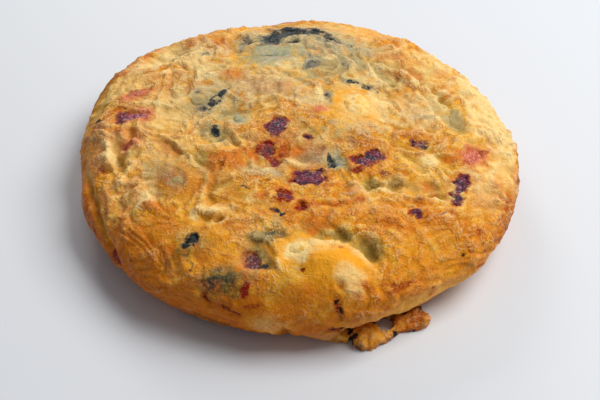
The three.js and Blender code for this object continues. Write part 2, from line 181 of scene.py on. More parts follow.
# Folds where one flap of the skin lies over the next: the path over the top, how high its lip stands,
# how far the skin on the left of the path drops, and how wide that drop is.
FOLDS = [
    ([(-46, -19), (-38, -21), (-32, -27), (-29.5, -34), (-31, -42), (-34, -46)], 0.35, 1.2, 5),
    ([(-36, -16), (-31, -14.5), (-25, -14.5), (-19, -17), (-15.5, -21), (-14, -27)], 0.7, 1.1, 4),
    ([(-18, -47), (-22, -48), (-26, -49), (-30, -50), (-35, -49)], 0.4, 0.6, 3),
    ([(-14, -33), (-12.5, -38), (-13.5, -43), (-17, -47)], 0.3, 0.7, 4),
    ([(18, -31), (21, -36), (25, -38), (29, -35.5), (33, -36.5),
      (38, -38), (45, -39), (50, -38), (54, -41)], 0.6, 1.2, 5),
    ([(0, -61.5), (6, -60.8), (11, -61.2), (15, -61.8), (20, -64), (24, -67.5), (27, -71)], 0.7, 1.8, 5),
    ([(-2, -36), (-1, -32.5), (2, -31.6), (4.5, -34), (6, -38)], 0.4, 0.8, 3),
    ([(41, -52), (46, -47), (51, -45.5), (55, -49), (58, -56)], 0.4, 0.8, 4),
    ([(42, -15), (47, -18), (51, -23), (55, -30)], 0.5, 0.7, 4),
    ([(-36, -24), (-44, -15), (-51, -8)], 0.3, 0.9, 6),
    ([(-70, -8), (-68.5, -14), (-66.5, -20), (-63.5, -26), (-60, -28)], 1, 1.6, 4),
    ([(-20, -18), (-23, -10), (-27, -3)], 0.5, 1, 4),
    ([(-5, -74), (-6, -66), (-9, -61), (-17, -60)], 0.4, 0.9, 4),
    ([(27, 41), (28, 32), (31, 25), (37, 21)], 0.8, 1.2, 3.5),
    ([(28, 39), (37, 34.5), (43, 31), (48, 26)], 0.9, 1.7, 6),
    ([(50, 27), (54, 19), (58, 11)], 0.5, 1.2, 3), ([(45, 23), (49, 14), (53, 4), (57, 1)], 0.5, 0.9, 3),
    ([(25, 18), (32, 13), (37, 5)], 0.4, 0.6, 4), ([(8, 21), (8, 14), (9, 8), (12, 3)], 0.6, 0.3, 2),
    ([(20, -9), (29, -12), (38, -15), (47, -16)], 0.4, 0.5, 3),
    ([(0, -8), (8, -10), (15, -14), (22, -14)], 0.3, 0.4, 3),
    ([(-58, -20), (-59, -27), (-61, -35)], 0.5, 0.4, 3),
    ([(-52, -37), (-50, -43), (-46, -47)], 0.5, 0.5, 3),
    ([(20, -48), (29, -46), (38, -44), (48, -44), (56, -41)], 0.35, 0.6, 3),
    ([(-68, 14), (-62, 11), (-54, 10), (-48, 5)], 0.3, 0.6, 4),
    ([(-45, 8), (-42, 16), (-40, 25), (-41, 35)], 0.3, 0.7, 4),
    ([(-20, 28), (-12, 24), (-4, 24), (3, 20)], 0.3, 0.6, 4),
    ([(-18, 12), (-10, 14), (-2, 11), (4, 5)], 0.3, 0.5, 3),
    ([(63.5, -1), (64.6, 8), (65, 16), (64, 22)], 0.6, 0.9, 4),
    ([(30, -3), (38, -5), (46, -3), (53, -5)], 0.3, 0.5, 3),
    ([(18, 44), (22, 36), (21, 28), (24, 22)], 0.4, 0.6, 3),
    ([(32, 57), (38, 52), (47, 50), (53, 44)], 0.3, 0.7, 4),
    ([(-58, 26), (-52, 31), (-49, 39), (-50, 46)], 0.3, 0.6, 4),
    ([(60, -22), (66, -24), (72, -22)], 0.4, 0.5, 3),
    ([(-4, -21), (3, -24), (9, -20), (11, -14)], 0.1, 0.5, 4),
    ([(-20, -28), (-13, -29), (-6, -26), (-3, -21)], 0.4, 0.6, 3),
]
# Thin folds low on the side: the path, the width from its middle, the depth.
SIDE_FOLDS = [
    ([(-1.8, -80, 3.6), (-2.2, -82.4, 9), (-4, -83.4, 13.4)], 2.4, 1.3),
    ([(20, -80.2, 9), (15, -81.6, 11), (10, -82.4, 10.4)], 1.5, 1.3),
    ([(-16.6, -81.6, 15.2), (-23, -80, 17), (-29.5, -77.4, 18.6)], 1.5, 0.8),
    ([(-19, -80.6, 10), (-24, -79.4, 11.4), (-30, -77.2, 11.6)], 1.8, 0.6),
    ([(-47, -67, 8), (-54, -61, 9), (-62, -53, 12)], 1.6, 0.7),
    ([(-58, -60, 13), (-66, -50, 14), (-73, -38, 13)], 2.2, 0.7),
    ([(-36, -75, 12), (-44, -71, 11), (-52, -65, 12)], 2, 0.6),
    ([(30, -77, 12), (42, -72, 13), (54, -64, 12)], 2.4, 0.6),
    ([(58, -60, 9), (68, -48, 10), (75, -34, 9)], 2.2, 0.6),
    ([(-80, -20, 10), (-82, -8, 11), (-82, 6, 9)], 2, 0.7),
    ([(-78, 26, 12), (-72, 40, 11), (-62, 54, 12)], 2.2, 0.7),
    ([(-40, 73, 10), (-26, 79, 11), (-10, 82, 9)], 2.2, 0.7),
    ([(8, 83, 12), (24, 80, 11), (40, 73, 13)], 2.2, 0.7),
    ([(60, 57, 9), (70, 44, 11), (78, 28, 10)], 2, 0.7),
    ([(82, 10, 12), (83, -4, 10), (81, -18, 12)], 2, 0.6),
]
# Lumps of potato under the side: the spot, how high it stands.
SIDE_LUMPS = [
    (-8.4, -83.2, 12.6, 9, 7.5, 0, 1.4), (8, -83, 10, 9, 5.5, 0, 0.7), (-44, -70, 15, 10, 6, 0, 0.6),
    (58, -58, 13, 12, 6, 0, 0.6),
]
# Holes and small pits: the spot, the depth.
PITS = [
    (-25.6, -52.6, 2, 1.6, 10, 2.2), (-30, -51.4, 1.8, 1.2, 0, 0.8), (2, -46, 3, 2.4, -20, 2.6),
    (-25.6, -22.6, 0.9, 0.7, 0, 0.8), (-26.6, -25.6, 1.6, 0.8, -20, 0.8), (36, -33, 3, 1.8, 20, 0.5),
    (25, -64.5, 2.6, 4.2, -10, 1.5), (-9, -71, 2.2, 2.4, 0, 1.4), (-7, -48.5, 2.8, 1.2, -25, 0.7),
    (-3, 52.4, 3.2, 1.7, 25, 1.3), (3.3, -10.5, 2, 1.4, 0, 0.8),
]
# Where the egg has run over a piece: the middle, the half size.
COVERED = [
    (-12, -9.6, 2), (-12, -1.6, 2.4), (-2.6, -5.2, 2), (-6.4, 0.8, 2), (-13.6, -21.8, 3),
    (-15.4, -16.4, 2), (11, -29.6, 2.4), (-0.6, -36, 2.6), (23.4, -26.4, 3), (30, -16.5, 1.4),
    (-7.8, -41, 2.2), (54.6, -31.6, 3), (58.4, -34, 1.8), (53.8, -36.4, 1.4), (58.4, -38.4, 1.8),
    (47.6, -13, 1.6), (-58, 6.4, 3.2), (-66.5, 20.5, 2.6), (-62, 21.2, 2.2), (-58, 21.2, 2),
    (-10.4, -66, 2.4), (-12.5, -64, 2), (-30.6, 12.4, 1.4), (-33.8, 6.2, 1.2), (-33.4, -8.4, 3),
    (-30, -10.8, 3.4), (-27.6, -4.4, 1.8), (15.4, -22.4, 2.7), (11.6, -27.6, 2), (-37, -58.2, 2.6),
    (-14.5, 43, 3), (-9, 42.6, 3), (-31.2, -62.8, 2.5), (24.2, 22, 2), (28.6, 19, 1.8), (-20, 43, 3.5),
    (61, 14, 2.5), (-36.6, 3.4, 1.8), (-14, 50, 3), (-5, 50, 3), (-42.5, -36.5, 3.4), (0, 62.5, 2.2),
    (10, 59, 1.8),
]

# The mesh's cells across the top, its rings down the side, and the shares to which those under it narrow.
TOP_CELLS = 240
SIDE_RINGS = 26
UNDERSIDE_RINGS = [0.94, 0.82, 0.62, 0.38, 0.16]


def rise(low, high, values):
    """Goes smoothly from 0 at low to 1 at high."""
    part = np.clip((values - low) / (high - low), 0, 1)
    return part * part * (3 - 2 * part)


def bell(distance):
    """One at the middle of a form, easing to nothing at its rim."""
    return np.where(distance < 1, (1 - distance**2) ** 2, 0)


def cad_noise(places, width, seed):
    """The same soft lumps as the CAD solid has."""
    moved = places / width + np.array([seed, 0, 0])
    corner = np.floor(moved)
    part = rise(0, 1, moved - corner)
    total = 0
    for step in np.ndindex(2, 2, 2):
        mixed = np.sin((corner + step) @ np.array([127.1, 311.7, 74.7])) * 43758.5453
        total = total + np.where(step, part, 1 - part).prod(1) * (mixed - np.floor(mixed))
    return 2 * total - 1


def rough(places, width, seed):
    """Smooth noise of about -1 to 1, in lumps of that width."""
    moved = places / width + 31.7 * seed
    return np.array([1.6 * noise.noise(Vector(place)) for place in moved])


def drift(places, width, seeds):
    """A shift of about -1 to 1 along each axis that has a seed, by smooth noise of that width."""
    return np.stack([rough(places, width, seed) for seed in seeds], 1)


def curds(places, width, seed):
    """Round lumps of that width pressed together: 0 at the middle of a lump and about 1 in its seam."""
    moved = places / width + 31.7 * seed
    return np.array([min(1, noise.voronoi(Vector(place))[0][0] * 1.3) for place in moved])


def outline_radius(angle):
    """The radius of the outline at an angle round the omelette."""
    waves = [c * np.cos(k * angle) + s * np.sin(k * angle) for k, c, s in OUTLINE_WAVES]
    return RADIUS * (1 + sum(waves))


quarter = np.linspace(0, math.pi / 2, 400)
crown_height = WIDEST + (THICKNESS - WIDEST) * np.clip(np.cos(quarter), 0, 1) ** (2 / CROWN)
upper_section = np.stack([RADIUS * np.sin(quarter) ** (2 / CROWN), crown_height], 1)
lower_section = np.stack([RADIUS - UNDERCUT * (1 - np.cos(quarter)), WIDEST * (1 - np.sin(quarter))], 1)


def walk(section, along):
    """Places and directions on a section curve, at shares of its length."""
    steps = np.hypot(*np.diff(section, axis=0).T)
    share = np.append(0, np.cumsum(steps)) / steps.sum()
    place = np.stack([np.interp(along, share, side) for side in section.T], -1)
    headings = (np.diff(section, axis=0) / steps[:, None]).T
    ahead = np.stack([np.interp(along, (share[1:] + share[:-1]) / 2, side) for side in headings], -1)
    return place, ahead / np.linalg.norm(ahead, axis=-1, keepdims=True)


def skin_place(section, along, angle):
    """Places on the smooth skin, and which way it faces there."""
    place, ahead = walk(section, along)
    stretch = outline_radius(angle) - RADIUS
    reach = place[:, 0] * (1 + stretch / RADIUS) if section is upper_section else place[:, 0] + stretch
    points = np.stack([reach * np.cos(angle), reach * np.sin(angle), place[:, 1]], 1)
    facing = np.stack([-ahead[:, 1] * np.cos(angle), -ahead[:, 1] * np.sin(angle), ahead[:, 0]], 1)
    return points, facing


section_shares = np.linspace(0, 1, 600)
sampled = [(section, walk(section, section_shares)[0]) for section in (upper_section, lower_section)]


def skin_at(at):
    """The smooth skin's place at (x, y, z), or on the top over (x, y), and which way it faces."""
    height = at[2] if len(at) == 3 else THICKNESS
    angle = math.atan2(at[1], at[0])
    radius = math.hypot(at[0], at[1]) * RADIUS / outline_radius(angle)
    for _ in range(1 if len(at) == 3 else 12):
        gaps = [np.hypot(*(table - (radius, height)).T) for _, table in sampled]
        (section, _), gap = min(zip(sampled, gaps), key=lambda pair: pair[1].min())
        points, facing = skin_place(section, section_shares[[gap.argmin()]], np.array([angle]))
        height = points[0, 2]
    return points[0], facing[0]


def on_skin(path):
    """A path along the side with its corners on the smooth skin; one over the top stays as it is."""
    return [skin_at(at)[0] for at in path] if len(path[0]) == 3 else path


def distance_to(places, spot):
    """How far each place is from the middle of a spot in the skin, where its rim is at 1."""
    *at, half_length, half_width, turn = spot
    centre, facing = skin_at(at)
    wanted = np.array([math.cos(math.radians(turn)), math.sin(math.radians(turn)), 0])
    along = wanted - facing * (wanted @ facing)
    along /= np.linalg.norm(along)
    offset = places - centre
    a, b = offset @ along, offset @ np.cross(facing, along)
    off = np.linalg.norm(offset, axis=1) - np.hypot(a, b)
    return np.sqrt((a / half_length) ** 2 + (b / half_width) ** 2 + (off / half_width) ** 2)


def along_path(places, path):
    """The distance of each place from a path, its share of the way along, and its side: left is 1."""
    path = np.array(path, float)
    lengths = np.linalg.norm(np.diff(path, axis=0), axis=1)
    starts = np.append(0, np.cumsum(lengths))
    best = np.full(len(places), 1e9)
    share, side = np.zeros(len(places)), np.ones(len(places))
    for i, length in enumerate(lengths):
        ahead = (path[i + 1] - path[i]) / length
        offset = places[:, : path.shape[1]] - path[i]
        part = np.clip(offset @ ahead, 0, length)
        gap = np.linalg.norm(offset - part[:, None] * ahead, axis=1)
        nearer = gap < best
        best = np.where(nearer, gap, best)
        share = np.where(nearer, (starts[i] + part) / starts[-1], share)
        side = np.where(nearer, np.sign(ahead[0] * offset[:, 1] - ahead[1] * offset[:, 0]), side)
    return best, share, side


# A sheet of cells over the top, and rings of cells drawn down the side and in under the base.
body = bmesh.new()
bmesh.ops.create_grid(body, x_segments=TOP_CELLS, y_segments=TOP_CELLS, size=1)
for vert in body.verts:
    vert.co.z = 1
rim = [edge for edge in body.edges if edge.is_boundary]
for ring in range(SIDE_RINGS + len(UNDERSIDE_RINGS)):
    made = bmesh.ops.extrude_edge_only(body, edges=rim)["geom"]
    rim = [part for part in made if isinstance(part, bmesh.types.BMEdge)]
    for vert in [part for part in made if isinstance(part, bmesh.types.BMVert)]:
        vert.co.z = 1 - 2 * (ring + 1) / SIDE_RINGS
bmesh.ops.contextual_create(body, geom=rim)
egg_mesh = bpy.data.meshes.new("omelette")
body.to_mesh(egg_mesh)
body.free()
cells = np.empty(len(egg_mesh.vertices) * 3)
egg_mesh.vertices.foreach_get("co", cells)
cells = cells.reshape(-1, 3)

# The square of cells goes on the round top, and its rings on the side.
across = cells[:, 0] * np.sqrt(1 - cells[:, 1] ** 2 / 2)
back = cells[:, 1] * np.sqrt(1 - cells[:, 0] ** 2 / 2)
angle = np.arctan2(back, across)
on_top = cells[:, 2] > 1 - 1e-4
ring_number = np.rint((1 - cells[:, 2]) / 2 * SIDE_RINGS).astype(int)
top_places, top_facing = skin_place(upper_section, np.clip(np.hypot(across, back), 0, 1), angle)
side_places, side_facing = skin_place(lower_section, np.clip((1 - cells[:, 2]) / 2, 0, 1), angle)
places = np.where(on_top[:, None], top_places, side_places)
facing = np.where(on_top[:, None], top_facing, side_facing)
under = np.array([1.0] * (SIDE_RINGS + 1) + UNDERSIDE_RINGS)[ring_number]

# The edge is lifted over the crisp scrap: the spot, how far it is drawn in.
LIFTED = [(22, -78.5, 4, 12, 9, 0, 4.6), (31, -76, 4, 9, 8, 0, 1.5)]
lumps = [height * cad_noise(places, width, 5 * i) for i, (width, height) in enumerate(UNEVENNESS)]
cad_relief = sum(lumps)
for *spot, height in FORMS + SIDE_LUMPS:
    cad_relief += height * bell(distance_to(places, spot))
for path, width, depth in CREASES:
    cad_relief -= depth * bell(along_path(places, path)[0] / width)

# The finer relief: flaps that lie over each other, wrinkles, and the fine blistered skin.
SIDE_TO_TOP = (12, 27)
FLAP_STEPS = 2.3
FLAP_EDGE = 0.84
high_up = rise(*SIDE_TO_TOP, places[:, 2])
stretched = places * np.array([1, 1, 1.7])
warped = stretched + 3.2 * drift(stretched, 13, (1, 2, 3))
flap_steps = FLAP_STEPS * rough(warped, 17, 4)
flap_part = flap_steps - np.floor(flap_steps)
flaps = np.where(flap_part < FLAP_EDGE, flap_part / FLAP_EDGE, 1 - rise(FLAP_EDGE, 1, flap_part))
lively = 0.55 + 0.45 * rise(-0.5, 0.5, rough(places, 26, 5))
ridges = np.clip(1 - np.abs(rough(warped, 7, 6)) / 0.3, 0, 1)
curd = rough(warped, 3.4, 8)
# What the relief is made of: how high each part stands on the side, and how much more it does on top.
fine_relief = lively * sum(
    (low + more * high_up) * part
    for low, more, part in (
        (0.35, 0.6, flaps),
        (0.25, 0.25, ridges**1.5),
        (0.8, 1.3, 0.5 - curds(warped, 7.5, 7)),
        (0.4, 0.3, 0.5 - curds(warped, 3.6, 16)),
        (0.18, 0.08, curd),
        (0.1, 0, rough(places, 1.7, 9)),
    )
)
# A fold's lip stands up unevenly along its wandering path, the skin to the left of it drops, and that to
# the right is raised a little.
FOLD_STRENGTH = 1.65
lip_share = np.zeros(len(places))
drop_share = np.zeros(len(places))
wander = drift(places, 4.5, (10, 11)) + 0.4 * drift(places, 1.8, (17, 18))
uneven = np.clip(0.6 + 0.7 * rough(places, 4, 19), 0.1, 1.4)
for path, lip, drop, reach in FOLDS:
    gap, share, side = along_path(places[:, :2] + wander, path)
    fade = rise(0, 0.16, share) * rise(1, 0.84, share) * on_top
    signed = gap * side
    lips = np.where(signed < 0, np.exp(signed / 1.6), np.exp(-((signed / 0.5) ** 2))) * fade * uneven
    drops = np.where(signed > 0, np.exp(-signed / reach) * rise(-0.3, 1.1, signed), 0) * fade
    rises = np.where(signed < 0, np.exp(signed / reach), np.exp(-signed / 0.8)) * fade
    fine_relief += FOLD_STRENGTH * (lip * lips - drop * drops + 0.25 * drop * rises)
    lip_share = np.maximum(lip_share, lips * min(1, lip / 0.5))
    drop_share = np.maximum(drop_share, drops * min(1, drop))
winding = np.column_stack([places[:, :2] + wander, places[:, 2] + wander[:, 0]])
pit_share = np.zeros(len(places))
for *spot, depth in PITS:
    pit = 1 - rise(0.45, 1.1, distance_to(places, spot) + 0.12 * curd)
    fine_relief -= depth * pit
    pit_share = np.maximum(pit_share, pit)

# The pieces set in the top: the look of each, how deep its CAD solid goes, and how far it is sunk. Each
# lies in a shallow bed, and the egg closes over its edge in a ragged line.
INLAYS = {
    "chorizo_1": ("purple", 6, 0.5), "chorizo_2": ("red", 6, 0.7), "chorizo_3": ("purple", 6, 0.3),
    "chorizo_4": ("purple", 6, 0.5), "chorizo_5": ("red", 6, 0.7), "chorizo_6": ("red", 6, 2.1),
    "chorizo_7": ("rosy", 6, 0.7), "chorizo_8": ("pink", 6, 0.8), "chorizo_9": ("purple", 6, 0.6),
    "chorizo_10": ("brown", 6, 0.8), "chorizo_11": ("pink", 6, 0.8), "chorizo_12": ("brown", 6, 0.8),
    "courgette_skin_1": ("curl", 4, 0.7), "courgette_skin_2": ("curl", 4, 0.8),
    "courgette_skin_3": ("peel", 4, 1.5), "courgette_skin_4": ("peel", 4, 1),
    "courgette_skin_5": ("peel", 4, 0.7), "courgette_skin_6": ("peel", 4, 0.8),
    "courgette_flesh_1": ("flesh", 4, 0.05), "courgette_flesh_2": ("dark", 4, 0.1),
    "courgette_flesh_3": ("flesh", 4, 0.1), "courgette_flesh_4": ("dim", 4, 0.1),
    "courgette_flesh_5": ("dim", 4, 0.1), "potato_1": ("waxy", 6, 0.05), "potato_2": ("waxy", 6, 0.05),
    "potato_3": ("chip", 6, 0.1),
}
# How each look colours the skin across its edge: the tint, where it starts and is full, in millimetres
# in from the outline of the piece, and its strength. The pieces carry the same tints, so none shows a
# hard outline.
RIMS = {
    "purple": [("orange", -2.6, -0.4, 0.75), ("red", -1, 0.5, 0.9), ("purple", -0.2, 1.2, 0.95)],
    "red": [("orange", -2.8, -0.2, 0.9), ("red", -1, 0.8, 1), ("purple", 0.9, 2.6, 0.6)],
    "pink": [("orange", -3.2, -0.5, 0.7), ("pink", -1.4, 0.6, 0.9), ("red", 0.2, 2.2, 0.3)],
    "brown": [("orange", -2.6, -0.2, 0.5), ("red", -1.2, 1, 0.5), ("purple", 0, 2, 0.45)],
    "rosy": [
        ("orange", -3, -0.4, 0.5), ("pink", -1.4, 0.8, 0.7), ("red", -0.6, 1, 0.3),
        ("purple", 0.2, 2, 0.25),
    ],
    "peel": [("grey_green", -2.6, -0.2, 0.6), ("dark_green", -0.3, 0.9, 1)],
    "curl": [("grey_green", -3.4, -0.4, 0.75), ("slate", -1.6, 0.8, 0.9), ("dark_green", 0.2, 2.2, 0.7)],
    "flesh": [("grey_green", -3, 0.8, 0.75), ("pale", 0.5, 3, 0.3)],
    "dim": [("olive", -3, 0.4, 0.35), ("grey_green", -1.5, 1, 0.12)],
    "dark": [("grey_green", -3, 0, 0.6), ("slate", -1.2, 1.2, 0.8)],
    "waxy": [("yellow", -4, -0.8, 0.7), ("pale", -0.6, 1.4, 0.6)],
    "chip": [("olive", -3, 0.2, 0.5), ("grey_green", -0.5, 2, 0.4)],
}


def strayed(places):
    """Places shifted along the top, so that the outline of a piece wanders."""
    shift = 0.9 * drift(places, 4.2, (40, 41)) + 0.5 * drift(places, 1.7, (43, 44))
    return places + np.append(shift, np.zeros((len(places), 1)), 1)


def cad_copy(node):
    """A CAD node's mesh in metres, with its loose triangles joined."""
    copy = bmesh.new()
    copy.from_mesh(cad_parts[node].data)
    bmesh.ops.remove_doubles(copy, verts=copy.verts, dist=0.001 * MM)
    return copy


def depths_in(solid, places):
    """How deep each place lies in a solid, and below 0 outside it."""
    tree = BVHTree.FromBMesh(solid)
    depths = np.empty(len(places))
    for i, place in enumerate(places):
        nearest, normal, _, gap = tree.find_nearest(Vector(place))
        depths[i] = gap * (-1 if (Vector(place) - nearest).dot(normal) > 0 else 1)
    solid.free()
    return depths


# How far in the egg closes over a piece, how wide its edge is, and how deep the bed is. The egg runs out
# thin over the flat slices, so their edges are soft.
CLEAN_EDGE = (0.6, 0.4, 1.4)
SOFT_EDGED = {
    "flesh": (1.1, 1.6, 0.45),
    "dim": (0.9, 1.6, 0.45),
    "dark": (0.9, 1.4, 0.5),
    "waxy": (1.1, 1.6, 0.4),
    "chip": (1.1, 1.4, 0.45),
}
# The skin within this reach of a piece is tested against its solid, this far above half its depth.
TESTED_ROUND = 6
TESTED_ABOVE = 0.7
FAR_OUT = -9.0
inward = {look: np.full(len(places), FAR_OUT) for look in RIMS}
inside = np.zeros(len(places))
at_rim = np.zeros(len(places))
for node, (look, deep, _) in INLAYS.items():
    low, high = [np.array(corner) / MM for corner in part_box(node)]
    close = np.where(((places > low - TESTED_ROUND) & (places < high + TESTED_ROUND)).all(1))[0]
    lifted = cad_relief[close] - deep / 2 + TESTED_ABOVE
    probes = strayed(places[close]) + facing[close] * lifted[:, None]
    depths = depths_in(cad_copy(node), probes * MM) / MM
    closed, edge, bed = SOFT_EDGED.get(look, CLEAN_EDGE)
    inward[look][close] = np.maximum(inward[look][close], depths)
    inside[close] = np.maximum(inside[close], bed * rise(-edge, edge, depths - closed))
    ridge = np.exp(-(((depths - closed) / 1.4) ** 2)) * (0.45 / edge) ** 2
    at_rim[close] = np.maximum(at_rim[close], ridge)
# Where the skin is smooth over a slice or a lump of potato: the spot, how smooth.
SMOOTH = [
    (21, 9, 10, 13, 10, 0.8), (12, -68.5, 18, 10, -22, 0.75), (-1, -65, 7, 6, 0, 0.6),
    (-11, 41, 13, 9, -5, 0.7), (-43, -33, 13, 9, -35, 0.55), (-21, -40, 7, 7, 0, 0.4),
    (-9, -82, 9, 14, 8, 0, 0.8), (-37, 9, 7, 8, 0, 0.5), (60, 6, 6, 9, 5, 0.25),
    (-48, -4, 9, 7, -30, 0.5), (-30, -62, 24, 9, -30, 0.6), (30, -62, 20, 8, 25, 0.35),
    (-8, -78, 21, 24, 8, 0, 0.8), (-20, -71, 12, 6, 10, 0.4),
]
for *spot, share in SMOOTH:
    fine_relief *= 1 - share * (1 - rise(0.5, 1.2, distance_to(places, spot)))
for path, width, depth in SIDE_FOLDS:
    gap = along_path(winding, on_skin(path))[0] / width
    groove = np.exp(-((gap / 0.6) ** 2))
    fine_relief -= depth * groove - 0.35 * depth * np.exp(-(((gap - 1.3) / 0.5) ** 2))
    drop_share = np.maximum(drop_share, 0.8 * groove)
round_bed = np.exp(-np.clip(-np.max(list(inward.values()), axis=0), 0, None) / 2.5)
clear = np.ones(len(places))
for x, y, reach in COVERED:
    clear *= rise(0.5, 1.2, np.hypot(places[:, 0] - x, places[:, 1] - y) / reach)
inside *= clear
rim_relief = at_rim * (0.15 + 0.3 * rough(places, 1.9, 42))
fine_relief = fine_relief * (1 - 0.7 * round_bed) - inside + rim_relief

ends = np.empty(2 * len(egg_mesh.edges), int)
egg_mesh.edges.foreach_get("vertices", ends)
ends = ends.reshape(-1, 2)
starts, stops = np.concatenate([ends[:, 0], ends[:, 1]]), np.concatenate([ends[:, 1], ends[:, 0]])
joined = np.bincount(starts, minlength=len(places))


def levelled(values, rounds):
    """The values at the vertices, spread over their neighbours that many times."""
    for _ in range(rounds):
        values = np.bincount(starts, weights=values[stops], minlength=len(values)) / joined
    return values


# A crest stands out from what lies close round it, and "stand" is how the broad forms stand out from a
# wider neighbourhood: each by its rounds of levelling and the height that counts as full.
CREST_ROUNDS = 14
CREST_HEIGHT = 0.45
STAND_ROUNDS = 110
STAND_HEIGHT = 0.6
crest = np.clip((fine_relief - levelled(fine_relief, CREST_ROUNDS)) / CREST_HEIGHT, -1, 1)
broad = levelled(cad_relief + fine_relief, 10)
stand = np.clip((broad - levelled(broad, STAND_ROUNDS)) / STAND_HEIGHT, -1, 1)

fade_low = rise(0, 5, places[:, 2])
relief = cad_relief * np.where(on_top, 1, 0.35 + 0.65 * fade_low) + fine_relief * (0.25 + 0.75 * fade_low)
for *spot, depth in LIFTED:
    relief -= depth * bell(distance_to(places, spot))
shaped = places + facing * relief[:, None]
shaped[:, :2] *= under[:, None]
shaped[:, 2] = np.where(ring_number >= SIDE_RINGS, 0, np.maximum(shaped[:, 2], 0))
egg_mesh.vertices.foreach_set("co", (shaped * MM).ravel())

